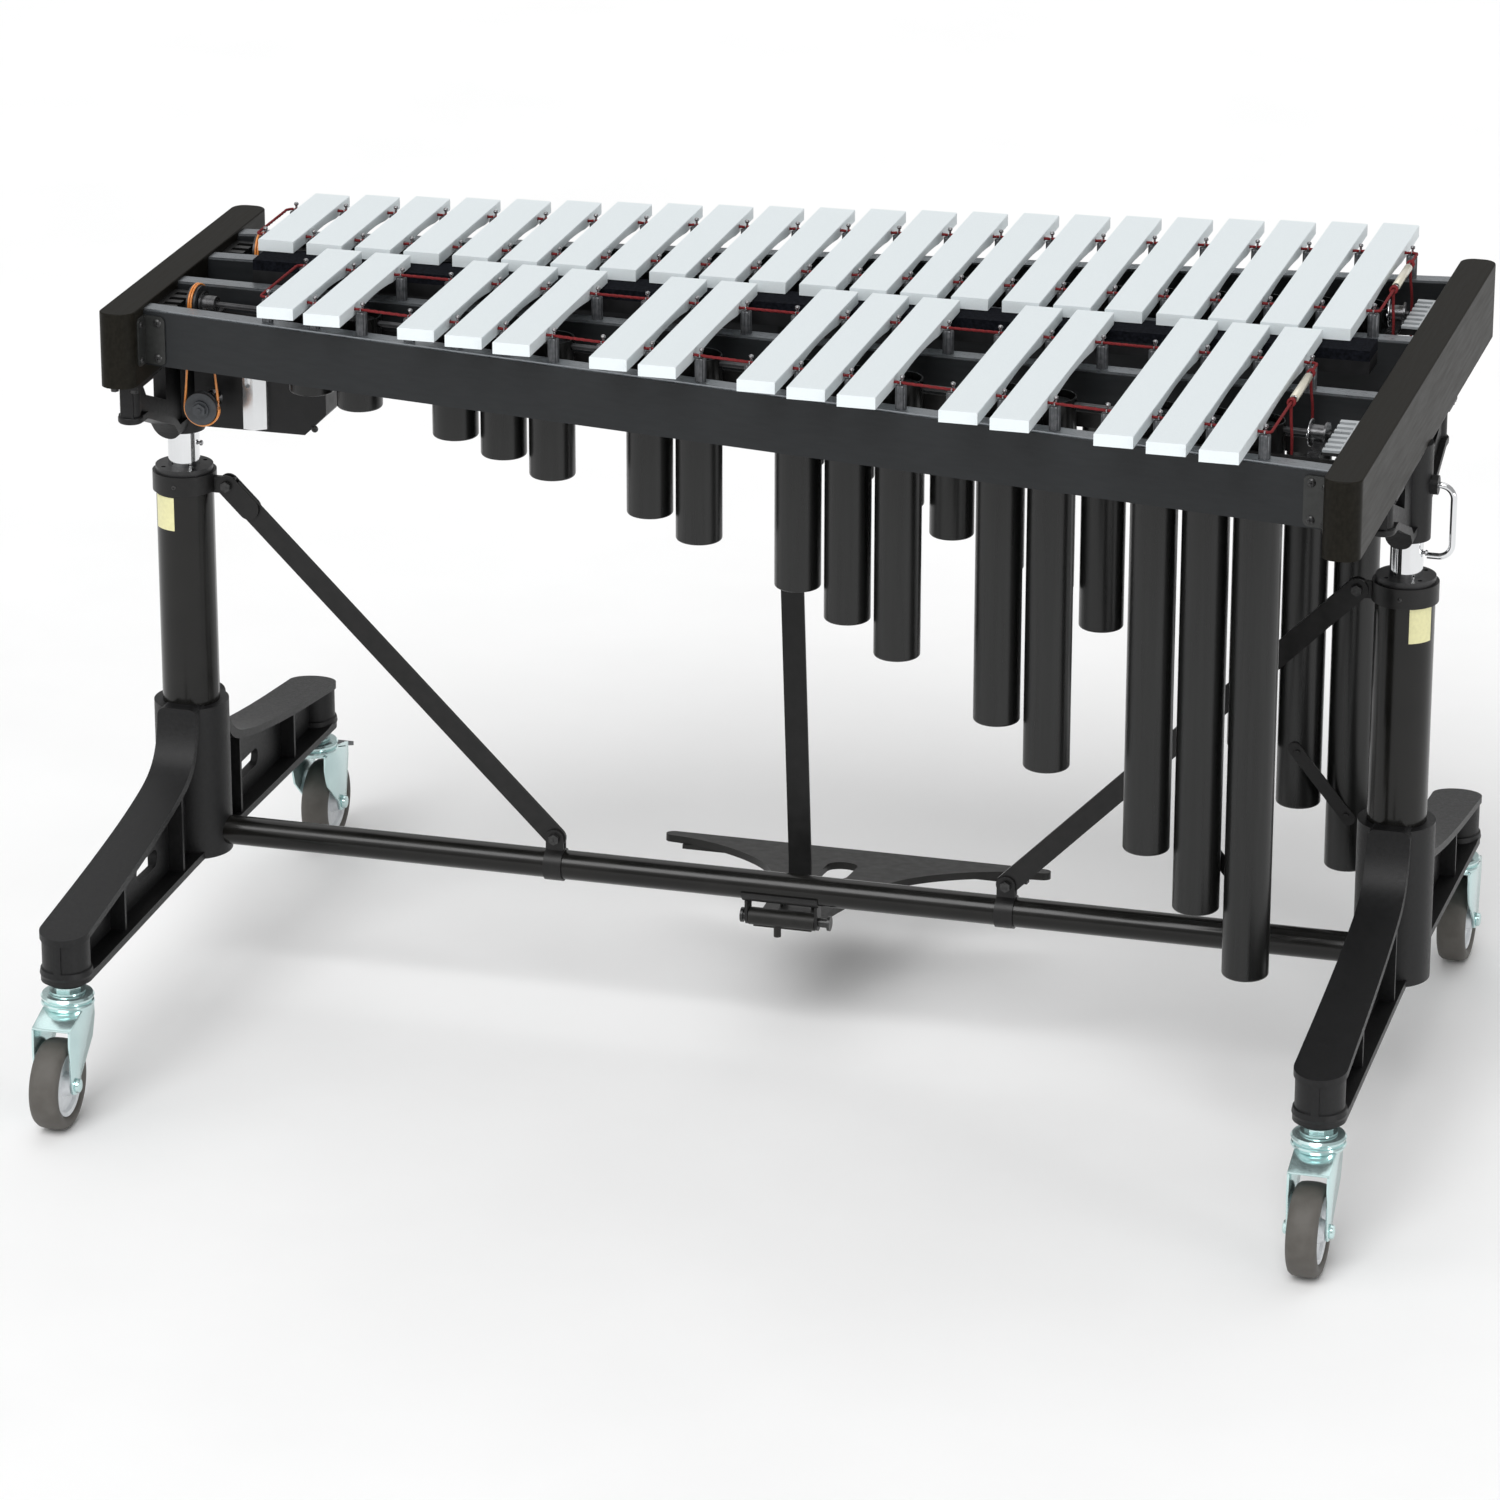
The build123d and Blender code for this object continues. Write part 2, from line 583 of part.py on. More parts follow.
def motor_bracket():
    """Hanger straps from the inner rails, and the slotted belt-tension bracket on the front."""
    y0, y1 = MOTOR_BOX["y"]
    z1 = MOTOR_BOX["z"][1]
    straps = []
    for x in (-600.0, -500.0):
        y_span = (node_y("accidental", 0, x), node_y("natural", 0, x))
        straps.append(block((x - 10, x + 10), y_span, (z1, z1 + 3)))
        for row in ROWS:
            y = node_y(row, 0, x)
            straps.append(block((x - 10, x + 10), (y - 8, y + 8), (z1 + 3, RAIL_BOTTOM)))
    facets = [(-566, y0), (-566, y0 - 12), (-553.5, y0 - 15), (-542, y0 - 6), (-542, y0)]
    face = make_face(Polyline(*[(x, y, 661.0) for x, y in facets], close=True))
    tension = extrude(face, 87.0, dir=UP)
    slot = Plane(origin=(-560.0, y0 - 20, 724.0), x_dir=(0, 0, 1), z_dir=(0, 1, 0))
    tension -= slot * extrude(SlotOverall(34.0, 6.5), 12.0)
    return straps + [tension]


def make_drive():
    save("natural_fan_shaft", fan_shaft("natural"))
    save("accidental_fan_shaft", fan_shaft("accidental"))
    save("shaft_bearings", *[shaft_bearing(row, x) for row in ROWS for x in BEARING_X])
    save("hanger_plates", *[hanger_plate(row, end) for row in ROWS for end in (-1, 1)])
    save("motor_pulleys", motor_pulleys())
    save("drive_belts", *[drive_belt(row) for row in ROWS])
    save("motor_housing", motor_housing())
    can = rod((MOTOR_X, -48, MOTOR_Z), (MOTOR_X, 48, MOTOR_Z), 18.0)
    can -= rod((MOTOR_X, -49, MOTOR_Z), (MOTOR_X, 49, MOTOR_Z), 3.0 + RUNNING)
    save("drive_motor", can)
    save("motor_bracket", *motor_bracket())
    y1 = MOTOR_BOX["y"][1]
    inlet = block((-520, -490), (y1, y1 + 10), (690, 712))
    inlet -= block((-516, -494), (y1 + 3, y1 + 11), (694, 708))
    save("mains_inlet", inlet)
    knob = rod((KNOB_X, y1 + 0.4, KNOB_Z), (KNOB_X, y1 + 16, KNOB_Z), 11.0)
    save("speed_knob", knob + rod((KNOB_X, y1 - 8, KNOB_Z), (KNOB_X, y1 + 1, KNOB_Z), 3.0))


# ---- columns and yokes ----------------------------------------------------------------------------
def yoke(x):
    """Cast head on the lift tube: a sleeve with a tongue under each arm, and a boss at each arm's end."""
    body = rod((x, 0, YOKE_BOTTOM), (x, 0, YOKE_TOP), YOKE_RADIUS)
    for hand in (-1, 1):
        arm = [(0, 650), (46, 640), (58, 656), (140, 692), (163, 692), (163, YOKE_TOP), (0, YOKE_TOP)]
        window = [(66, 684), (124, 707), (134, 722), (66, 722)]
        strip = [(15, YOKE_BOTTOM), (42, YOKE_BOTTOM), (48, 641), (60, 654), (138, 686), (152, 686)]
        strip += [(152, 693), (136, 693), (56, 661), (43, 650), (15, 650)]
        tongue = plate_yz([(hand * y, z) for y, z in strip], (x - 13.5, x + 13.5))
        kept = block((x - 20, x + 20), (-170, 170), (646, 700))
        tongue &= kept + rod((x, -60, 645.6), (x, 60, 645.6), 13.5)
        body += plate_yz([(hand * y, z) for y, z in arm], (x - 7, x + 7)) + tongue
        body -= plate_yz([(hand * y, z) for y, z in window], (x - 12, x + 12))
        y = hand * ARM_BOSS_Y
        foot = rod((x, y, 685), (x, y, 693), 13.5)
        body += rod((x, y, 690), (x, y, YOKE_TOP), 11.0)
        body += fillet(foot.edges().filter_by(GeomType.CIRCLE), 2.5)
        body += block((x - 17, x + 17), sorted((hand * 128, hand * 174)), (727, YOKE_TOP))
        body += block((x - 17, x + 17), sorted((0, hand * 128)), (729, YOKE_TOP))
    return body - rod((x, 0, YOKE_BOTTOM - 1), (x, 0, 716), LIFT_RADIUS)


def right_yoke():
    """Yoke with the pivot boss of the height lever."""
    body = yoke(COLUMN_X) + rod((COLUMN_X + 18, 0, LEVER_Z), (COLUMN_X + 30, 0, LEVER_Z), 10.0)
    pivot = rod((COLUMN_X + 18.2, 0, LEVER_Z), (COLUMN_X + 31, 0, LEVER_Z), LEVER_RADIUS + RUNNING)
    return body - pivot


def release_lever():
    """Bent wire handle that frees the gas springs."""
    x = COLUMN_X
    points = [(x + 18.6, 0, LEVER_Z), (x + 46, 0, LEVER_Z), (x + 46, 0, 614), (x + 21, 0, 614)]
    path = FilletPolyline(*points, radius=14.0)
    return sweep(Plane(origin=path @ 0, z_dir=path % 0) * Circle(LEVER_RADIUS), path)


def lift_tube(x):
    """Chromed inner tube with its top plug and the piston rod of the gas spring."""
    tube = pipe((x, 0, LIFT_BOTTOM), (x, 0, 715.9), LIFT_RADIUS, LIFT_BORE)
    plug = rod((x, 0, 700), (x, 0, 712), LIFT_BORE)
    piston_rod = rod((x, 0, 370), (x, 0, 700), 4.0)
    piston = rod((x, 0, 362), (x, 0, 370), 8.9)
    return [tube, plug + piston_rod + piston]


def gas_cylinder(x):
    """Cylinder of the gas spring, standing on the floor of the column."""
    body = rod((x, 0, 160), (x, 0, 560), 11.0) - rod((x, 0, 166), (x, 0, 556), 9.0)
    return body - rod((x, 0, 555), (x, 0, 561), 4.0 + GUIDE_CLEARANCE)


def column_tube(x):
    """Outer column tube with a closed floor."""
    tube = pipe((x, 0, 156), (x, 0, COLUMN_TOP), COLUMN_RADIUS, COLUMN_BORE)
    return tube + rod((x, 0, 156), (x, 0, 160), COLUMN_RADIUS)


def column_collar(x):
    """Clamp ring at the top of a column with a lug for the side brace."""
    inward = -math.copysign(1, x)
    ring = rod((x, 0, 565), (x, 0, COLUMN_TOP), COLUMN_RADIUS + 3.5)
    lug_tip = math.copysign(BRACE_TOP[0], x) + inward * 9
    lug = block(sorted((x + inward * 30, lug_tip)), (-3, 3), (563, 581))
    return ring + lug - rod((x, 0, 560), (x, 0, 590), COLUMN_RADIUS)


def column_cap(x):
    """Screwed cap whose bore guides the lift tube."""
    cap = rod((x, 0, COLUMN_TOP), (x, 0, CAP_TOP), COLUMN_RADIUS)
    cap += rod((x, 0, COLUMN_TOP - 26), (x, 0, COLUMN_TOP), COLUMN_BORE)
    cap -= rod((x, 0, COLUMN_TOP - 27), (x, 0, CAP_TOP + 1), LIFT_RADIUS + GUIDE_CLEARANCE)
    for quarter in range(4):
        angle = math.radians(45 + 90 * quarter)
        x_hole, y_hole = x + 24.5 * math.cos(angle), 24.5 * math.sin(angle)
        cap -= rod((x_hole, y_hole, CAP_TOP - 4), (x_hole, y_hole, CAP_TOP + 1), 2.5)
    return cap


def make_columns():
    sides = (-COLUMN_X, COLUMN_X)
    save("column_tubes", *[column_tube(x) for x in sides])
    save("column_collars", *[column_collar(x) for x in sides])
    bushes = [pipe((x, 0, 440), (x, 0, 466), COLUMN_BORE, LIFT_RADIUS + GUIDE_CLEARANCE) for x in sides]
    save("column_guides", *[column_cap(x) for x in sides], *bushes)
    save("gas_cylinders", *[gas_cylinder(x) for x in sides])
    save("lift_tubes", *[piece for x in sides for piece in lift_tube(x)])
    save("left_yoke", yoke(-COLUMN_X))
    save("right_yoke", right_yoke())
    save("release_lever", release_lever())


# ---- base -----------------------------------------------------------------------------------------
def leg_view(x, hand, curve, end):
    """Side view of a leg arm: a curve from the hub to the foot, closed by straight lines."""
    top = Spline(*[(x, hand * y, z) for y, z in curve])
    corners = [top @ 1, *[(x, hand * y, z) for y, z in end], top @ 0]
    lines = [Line(start, stop) for start, stop in zip(corners[:-1], corners[1:])]
    return make_face(Wire([top.edge()] + [line.edge() for line in lines]))


def leg_half(x, hand):
    """One arm of a leg: curved top flange that climbs the hub, web with an oval window, and the foot."""
    solid_view = leg_view(x, hand, LEG_TOP, [(420, 203), (420, HUB_BOTTOM), (20, HUB_BOTTOM), (20, 328)])
    floor_z = HUB_BOTTOM + 8
    pocket_corners = [(421, 195.5), (421, 166), (365, floor_z), (10, floor_z), (10, 322)]
    pocket_view = leg_view(x, hand, LEG_POCKET, pocket_corners)
    near, far = LEG_HALF_WIDTH
    plan = [(x - near, 0), (x + near, 0), (x + near, hand * 60), (x + far, hand * FOOT_Y)]
    plan += [(x - far, hand * FOOT_Y), (x - near, hand * 60)]
    outline = make_face(Polyline(*plan, close=True)) + Pos(x, hand * FOOT_Y) * Circle(far)
    prism = Pos(0, 0, HUB_BOTTOM - 10) * extrude(outline, 200)
    tongue = extrude(RectangleRounded(2 * near, 200, 9.0), 70, both=True)
    tongue = Plane(origin=(x, 0, 228), x_dir=(1, 0, 0), z_dir=(0, 1, 0)) * tongue
    tongue += block((x - 40, x + 40), (-450, 450), (HUB_BOTTOM - 10, 310))
    side_slab = extrude(solid_view, 40, both=True, dir=(1, 0, 0))
    body = (side_slab & prism) & tongue
    body -= extrude(pocket_view, 40, both=True, dir=(1, 0, 0))
    body += extrude(pocket_view, 4, both=True, dir=(1, 0, 0)) & prism
    for y, rib_top in LEG_RIBS:
        y_span = sorted((hand * (y - 2.5), hand * (y + 2.5)))
        body += block((x - near + 2, x + near - 2), y_span, (HUB_BOTTOM + 4, rib_top))
    window = Plane(origin=(x - 10, hand * 160, 190), x_dir=(0, 1, 0), z_dir=(1, 0, 0))
    body -= window * extrude(SlotOverall(62, 20), 20)
    profile = make_face(Polyline(*[(radius, 0, z) for radius, z in FOOT_PROFILE], close=True))
    foot = Pos(x, hand * FOOT_Y, 0) * revolve(profile, Axis.Z)
    under_flange = side_slab + block((x - 40, x + 40), sorted((hand * 340, hand * 420)), (140, 160))
    return body + (foot & under_flange)


def leg(x):
    """Cast leg: a hub around the column and an arm to each side."""
    body = rod((x, 0, HUB_BOTTOM), (x, 0, HUB_TOP), HUB_RADIUS)
    for hand in (-1, 1):
        body += leg_half(x, hand)
        body -= rod((x, hand * FOOT_Y, HUB_BOTTOM - 10), (x, hand * FOOT_Y, HUB_BOTTOM + 30), STEM_RADIUS)
    body -= rod((x, 0, 156), (x, 0, LEG_TOP[0][1] + 1), COLUMN_RADIUS)
    inward = -math.copysign(1, x)
    socket = (x + inward * 50, 0, CROSSBAR_Z)
    return body - rod((x + inward * (HUB_RADIUS - 4), 0, CROSSBAR_Z), socket, CROSSBAR_RADIUS)


def crossbar_clamp(hand):
    """Strap around the crossbar with two ears that hold the foot of a brace."""
    x = hand * BRACE_FOOT[0]
    ring = pipe((x - 10, 0, CROSSBAR_Z), (x + 10, 0, CROSSBAR_Z), CROSSBAR_RADIUS + 2.0, CROSSBAR_RADIUS)
    ears = []
    for side in (-1, 1):
        y_span = sorted((side * 2.4, side * 5.0))
        ears.append(block((x - 10, x + 10), y_span, (CROSSBAR_Z + CROSSBAR_RADIUS + 0.2, BRACE_FOOT[1])))
        ears.append(rod((x, y_span[0], BRACE_FOOT[1]), (x, y_span[1], BRACE_FOOT[1]), 10.0))
    return ring + ears


def side_brace(hand):
    """Flat diagonal bar from a column collar down to the crossbar."""
    top = Vector(hand * BRACE_TOP[0], 0, BRACE_TOP[1])
    foot = Vector(hand * BRACE_FOOT[0], 0, BRACE_FOOT[1])
    run = top - foot
    plane = Plane(origin=(top + foot) / 2, x_dir=run, z_dir=(0, 1, 0))
    bar_body = plane * extrude(SlotOverall(run.length + 23.0, 23.0), 2.2, both=True)
    return bar_body - block(sorted((hand * 600, hand * 640)), (-3.2, 3.2), (555, 590))


def brace_cheeks(hand):
    """Pair of plates that straddle the collar lug at the head of a brace."""
    top = Vector(hand * BRACE_TOP[0], 0, BRACE_TOP[1])
    inner = top + (Vector(hand * BRACE_FOOT[0], 0, BRACE_FOOT[1]) - top).normalized() * 34
    plates = []
    for side in (-1, 1):
        plane = Plane(origin=(top + inner) / 2 + Vector(0, side * 4.3, 0), x_dir=top - inner, z_dir=(0, 1, 0))
        plates.append(plane * extrude(SlotOverall(34 + 23.0, 23.0), 1.2, both=True))
    return plates


def pivot_bolts():
    """Bolts of the braces and the hinge pin of the pedal."""
    bolts = []
    for hand in (-1, 1):
        for x, z in (BRACE_TOP, BRACE_FOOT):
            for side in (-1, 1):
                bolts.append(hexagon((hand * x, side * 5.6, z), (hand * x, side * 10.0, z), 12.0))
    pin = rod((PEDAL_X - 43, 0, PEDAL_PIN_Z), (PEDAL_X + 50, 0, PEDAL_PIN_Z), AXLE_RADIUS)
    for x, out in ((PEDAL_X - 43, -1), (PEDAL_X + 50, 1)):
        pin += rod((x, 0, PEDAL_PIN_Z), (x + out * 3, 0, PEDAL_PIN_Z), 8.0)
    return bolts + [pin]


def pedal_bracket():
    """Saddle under the crossbar with two ears that carry the pedal pin."""
    saddle = pipe((PEDAL_X - 42, 0, CROSSBAR_Z), (PEDAL_X + 42, 0, CROSSBAR_Z), 18.0, CROSSBAR_RADIUS)
    saddle &= block((-60, 60), (-20, 20), (CROSSBAR_Z - 20, CROSSBAR_Z - 4))
    for x_span in ((PEDAL_X - 40, PEDAL_X - 37), (PEDAL_X + 37, PEDAL_X + 40)):
        saddle += block(x_span, (-9, 9), (PEDAL_PIN_Z, CROSSBAR_Z - CROSSBAR_RADIUS - 0.2))
        saddle += rod((x_span[0], 0, PEDAL_PIN_Z), (x_span[1], 0, PEDAL_PIN_Z), 9.0)
    return saddle - rod((PEDAL_X - 50, 0, PEDAL_PIN_Z), (PEDAL_X + 50, 0, PEDAL_PIN_Z), AXLE_RADIUS)


def make_base():
    save("left_leg", leg(-COLUMN_X))
    save("right_leg", leg(COLUMN_X))
    reach = COLUMN_X - HUB_RADIUS + 4
    bar_ends = (-reach, 0, CROSSBAR_Z), (reach, 0, CROSSBAR_Z)
    save("crossbar", pipe(*bar_ends, CROSSBAR_RADIUS, CROSSBAR_RADIUS - 2.5))
    save("crossbar_clamps", crossbar_clamp(-1), crossbar_clamp(1))
    braces = [piece for hand in (-1, 1) for piece in [side_brace(hand), *brace_cheeks(hand)]]
    save("side_braces", *braces)
    save("pivot_bolts", *pivot_bolts())
    save("pedal_bracket", pedal_bracket())


# ---- pedal and damper -----------------------------------------------------------------------------
def pedal():
    """Winged foot plate on a hinge barrel, with the two ears and pin that pull the strap."""
    half = [(32, -2), (36, 60), (52, 150), (76, 216), (121, 266), (168, 294), (214, 306)]
    right = Spline(*[(x, y) for x, y in half])
    tip = ThreePointArc((214, 306), (221, 316), (212, 325))
    back = Line((212, 325), (-212, 325))
    left_tip = ThreePointArc((-212, 325), (-221, 316), (-214, 306))
    left = Spline(*[(-x, y) for x, y in reversed(half)])
    front = Line((-32, -2), (32, -2))
    outline = make_face(Wire([edge.edge() for edge in (right, tip, back, left_tip, left, front)]))
    cut_out = Pos(0, 228) * SlotOverall(76, 34, rotation=90)
    plate = extrude(outline - cut_out, -PEDAL_PLATE)
    feet = [Pos(side * 150, 306, -PEDAL_PLATE) * extrude(Rectangle(96, 12), -5.0) for side in (-1, 1)]
    tilt = Plane(origin=(PEDAL_X, 0, PEDAL_PIN_Z - 3), x_dir=(1, 0, 0), z_dir=(0, 0.12533, 0.99211))
    body = tilt * (plate + feet)
    body += rod((PEDAL_X - 36.4, 0, PEDAL_PIN_Z), (PEDAL_X + 36.4, 0, PEDAL_PIN_Z), 9.5)
    for side in (-1, 1):
        x_span = sorted((PEDAL_X + side * 15.5, PEDAL_X + side * 19.0))
        ear_view = [(STRAP_Y - 12, 124), (STRAP_Y + 12, 122), (STRAP_Y + 8, 158), (STRAP_Y - 8, 158)]
        ear = plate_yz(ear_view, x_span)
        body += ear
    body += rod((PEDAL_X - 19, STRAP_Y, 150), (PEDAL_X + 19, STRAP_Y, 150), 3.0)
    body += rod((PEDAL_X - 6, 0, 119), (PEDAL_X - 6, 0, 134), 4.0)
    return body - rod((PEDAL_X - 40, 0, PEDAL_PIN_Z), (PEDAL_X + 40, 0, PEDAL_PIN_Z), AXLE_RADIUS + RUNNING)


def pull_strap():
    """Flat pull bar with an eye at its foot: it leans forward, then runs upright beside the damper strap."""
    half = STRAP_WIDTH / 2
    side_view = [(STRAP_Y - 1.5, 150), (STRAP_Y + 1.5, 150), (STRAP_Y + 1.5, 180), (26.5, 590), (26.5, 735)]
    side_view += [(23.5, 735), (23.5, 590), (STRAP_Y - 1.5, 180)]
    body = plate_yz(side_view, (PEDAL_X - half, PEDAL_X + half))
    body += rod((PEDAL_X - half, STRAP_Y, 150), (PEDAL_X + half, STRAP_Y, 150), 7.0)
    return body - rod((PEDAL_X - 20, STRAP_Y, 150), (PEDAL_X + 20, STRAP_Y, 150), 4.0)


def make_pedal():
    save("pedal", pedal())
    save("pull_strap", pull_strap())
    half = STRAP_WIDTH / 2
    wood = block(DAMPER_X, DAMPER_Y, (DAMPER_BOTTOM, FELT_BOTTOM))
    upper_strap = block((PEDAL_X - half, PEDAL_X + half), (19.0, 22.0), (600, DAMPER_BOTTOM))
    save("damper_bar", wood, upper_strap)
    save("damper_felt", block(DAMPER_X, DAMPER_Y, (FELT_BOTTOM, FELT_TOP)))


# ---- casters --------------------------------------------------------------------------------------
def caster_stem(x, y):
    """Threaded stem with its lock nut and the head that holds the swivel plate."""
    stem = rod((x, y, 117), (x, y, HUB_BOTTOM + 29), STEM_RADIUS)
    stem += hexagon((x, y, 140), (x, y, FOOT_PROFILE[0][1] - 0.2), 29.0)
    stem += rod((x, y, 138), (x, y, 140), 19.0)
    return stem + rod((x, y, 117), (x, y, 121), 13.0)


def caster_fork(x, y, hand):
    """Swivel housing with two legs, and the axle bolt between them; rear forks also carry the brake pin."""
    axle_y = y + hand * CASTER_TRAIL
    top = rod((x, y, 121.4), (x, y, 137.6), 28.0) - rod((x, y, 124), (x, y, 134.5), 24.0)
    top -= rod((x, y, 120), (x, y, 139), STEM_RADIUS + RUNNING)
    fork = top
    shoulder = [(axle_y + hand * 18, 104)]
    if hand > 0:
        brake_y = axle_y + BRAKE_OFFSET
        shoulder = [(brake_y + 8, 116), (brake_y + 8, 99)]
        fork += rod((x - 21, brake_y, BRAKE_Z), (x + 21, brake_y, BRAKE_Z), 3.0)
    for side in (-1, 1):
        x_span = sorted((x + side * 18.6, x + side * 21.4))
        outline = [(y - hand * 22, 130), (y + hand * 24, 130), *shoulder]
        outline += [(axle_y + hand * 11, 42), (axle_y - hand * 11, 42), (y - hand * 22, 112)]
        fork += plate_yz(outline, x_span)
        fork += hexagon((x + side * 21.4, axle_y, WHEEL_RADIUS), (x + side * 27, axle_y, WHEEL_RADIUS), 16.0)
    return fork + rod((x - 21, axle_y, WHEEL_RADIUS), (x + 21, axle_y, WHEEL_RADIUS), AXLE_RADIUS)


def caster_wheel(x, axle_y):
    """Moulded hub with its rubber tyre."""
    half = WHEEL_WIDTH / 2
    bore = rod((x - 20, axle_y, WHEEL_RADIUS), (x + 20, axle_y, WHEEL_RADIUS), AXLE_RADIUS + RUNNING)
    tyre = pipe((x - half, axle_y, WHEEL_RADIUS), (x + half, axle_y, WHEEL_RADIUS), WHEEL_RADIUS, 33.0)
    rim_edges = tyre.edges().filter_by(GeomType.CIRCLE).filter_by(lambda edge: edge.radius > 40)
    tyre = fillet(rim_edges, 9.0)
    hub = rod((x - 14, axle_y, WHEEL_RADIUS), (x + 14, axle_y, WHEEL_RADIUS), 33.0)
    boss = rod((x - 18, axle_y, WHEEL_RADIUS), (x + 18, axle_y, WHEEL_RADIUS), 12.0)
    return [tyre, hub + boss - bore]


def brake_lever(x, y):
    """Foot lever above the wheel of a rear caster."""
    pivot_y = y + CASTER_TRAIL + BRAKE_OFFSET
    outline = [(0, 113), (18, 111), (44, 101), (44, 96), (18, 105), (8, 101), (0, 101)]
    body = plate_yz([(pivot_y + run, z) for run, z in outline], (x - 15, x + 15))
    body += rod((x - 17.6, pivot_y, BRAKE_Z), (x + 17.6, pivot_y, BRAKE_Z), 6.0)
    return body - rod((x - 20, pivot_y, BRAKE_Z), (x + 20, pivot_y, BRAKE_Z), 3.0 + RUNNING)


def make_casters():
    stems = []
    for end, x in (("left", -COLUMN_X), ("right", COLUMN_X)):
        for place, hand in (("front", -1), ("back", 1)):
            y = hand * FOOT_Y
            name = f"{place}_{end}"
            stems.append(caster_stem(x, y))
            save(f"{name}_caster_fork", caster_fork(x, y, hand))
            save(f"{name}_wheel", *caster_wheel(x, y + hand * CASTER_TRAIL))
            if place == "back":
                save(f"{name}_brake_lever", brake_lever(x, y))
    save("caster_stems", *stems)


def main():
    os.makedirs("parts", exist_ok=True)
    make_bars()
    make_frame()
    make_posts()
    make_cords()
    make_resonators()
    make_drive()
    make_columns()
    make_base()
    make_pedal()
    make_casters()


main()
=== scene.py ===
"""Looks of the three-octave vibraphone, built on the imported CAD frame.

Row frame: +X to the low notes, -Y to the audience, +Z up. Lights, camera and floor are in metres; shapes are
laid out in millimetres and scaled by MM as they become meshes.
"""
import json
import math

import bmesh
import bpy
from mathutils import Matrix, Vector


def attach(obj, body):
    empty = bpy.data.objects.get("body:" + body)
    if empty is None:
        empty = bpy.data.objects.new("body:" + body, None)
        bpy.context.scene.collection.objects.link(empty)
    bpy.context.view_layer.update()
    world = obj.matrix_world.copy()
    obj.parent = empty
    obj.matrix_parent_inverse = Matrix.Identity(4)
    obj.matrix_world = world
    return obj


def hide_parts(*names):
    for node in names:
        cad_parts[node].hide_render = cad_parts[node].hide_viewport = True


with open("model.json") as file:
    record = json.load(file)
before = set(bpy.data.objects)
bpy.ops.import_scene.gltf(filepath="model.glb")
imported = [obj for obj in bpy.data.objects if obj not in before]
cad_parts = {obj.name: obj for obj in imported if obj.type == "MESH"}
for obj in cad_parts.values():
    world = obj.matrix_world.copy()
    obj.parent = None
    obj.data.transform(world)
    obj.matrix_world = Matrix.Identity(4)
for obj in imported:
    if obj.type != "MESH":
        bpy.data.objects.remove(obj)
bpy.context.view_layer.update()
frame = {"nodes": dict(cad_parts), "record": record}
nodes = frame["nodes"]
MM = 0.001
ALONG_X, ALONG_Y, UP = (1, 0, 0), (0, 1, 0), (0, 0, 1)
DOWN, TO_AUDIENCE = (0, 0, -1), (0, -1, 0)


# ---- materials --------------------------------------------------------------------------------------
MATERIALS = {}
BUMP_DISTANCE = 0.0006
MOTTLE_DETAIL, RELIEF_DETAIL = 4.0, 3.0
MOTTLE_BAND = (0.35, 0.65)
GLOSS_BAND = (0.3, 0.7)


def surface(name, dark, light, rough, metallic=0.0, grain=200.0, stretch=(1, 1, 1), bump=0.1, relief=60.0,
            relief_stretch=None, coat=0.0, coat_rough=0.2, ior=1.5, spec=0.5):
    """Make a Principled material and keep it in MATERIALS.

    Its colour is mottled between dark and light, its gloss is uneven between the two values of rough, and it
    has a fine relief. All of this comes from noise in object space.
    """
    material = bpy.data.materials.new(name)
    material.use_nodes = True
    tree = material.node_tree
    shader = tree.nodes["Principled BSDF"]
    coords = tree.nodes.new("ShaderNodeTexCoord")

    def noise(scale, proportions, detail):
        mapping = tree.nodes.new("ShaderNodeMapping")
        mapping.inputs["Scale"].default_value = proportions
        tree.links.new(coords.outputs["Object"], mapping.inputs["Vector"])
        texture = tree.nodes.new("ShaderNodeTexNoise")
        texture.inputs["Scale"].default_value = scale
        texture.inputs["Detail"].default_value = detail
        tree.links.new(mapping.outputs["Vector"], texture.inputs["Vector"])
        return texture

    mottle = noise(grain, stretch, MOTTLE_DETAIL)
    ramp = tree.nodes.new("ShaderNodeValToRGB")
    for element, position, colour in zip(ramp.color_ramp.elements, MOTTLE_BAND, (dark, light)):
        element.position = position
        element.color = (*colour, 1)
    tree.links.new(mottle.outputs["Fac"], ramp.inputs["Fac"])
    tree.links.new(ramp.outputs["Color"], shader.inputs["Base Color"])

    gloss = tree.nodes.new("ShaderNodeMapRange")
    gloss.inputs["To Min"].default_value, gloss.inputs["To Max"].default_value = rough
    gloss.inputs["From Min"].default_value, gloss.inputs["From Max"].default_value = GLOSS_BAND
    tree.links.new(mottle.outputs["Fac"], gloss.inputs["Value"])
    tree.links.new(gloss.outputs["Result"], shader.inputs["Roughness"])

    fine = noise(relief, relief_stretch or stretch, RELIEF_DETAIL)
    bumps = tree.nodes.new("ShaderNodeBump")
    bumps.inputs["Strength"].default_value = bump
    bumps.inputs["Distance"].default_value = BUMP_DISTANCE
    tree.links.new(fine.outputs["Fac"], bumps.inputs["Height"])
    tree.links.new(bumps.outputs["Normal"], shader.inputs["Normal"])

    shader.inputs["Metallic"].default_value = metallic
    shader.inputs["IOR"].default_value = ior
    shader.inputs["Specular IOR Level"].default_value = spec
    if coat:
        shader.inputs["Coat Weight"].default_value = coat
        shader.inputs["Coat Roughness"].default_value = coat_rough
    MATERIALS[name] = material
    return material


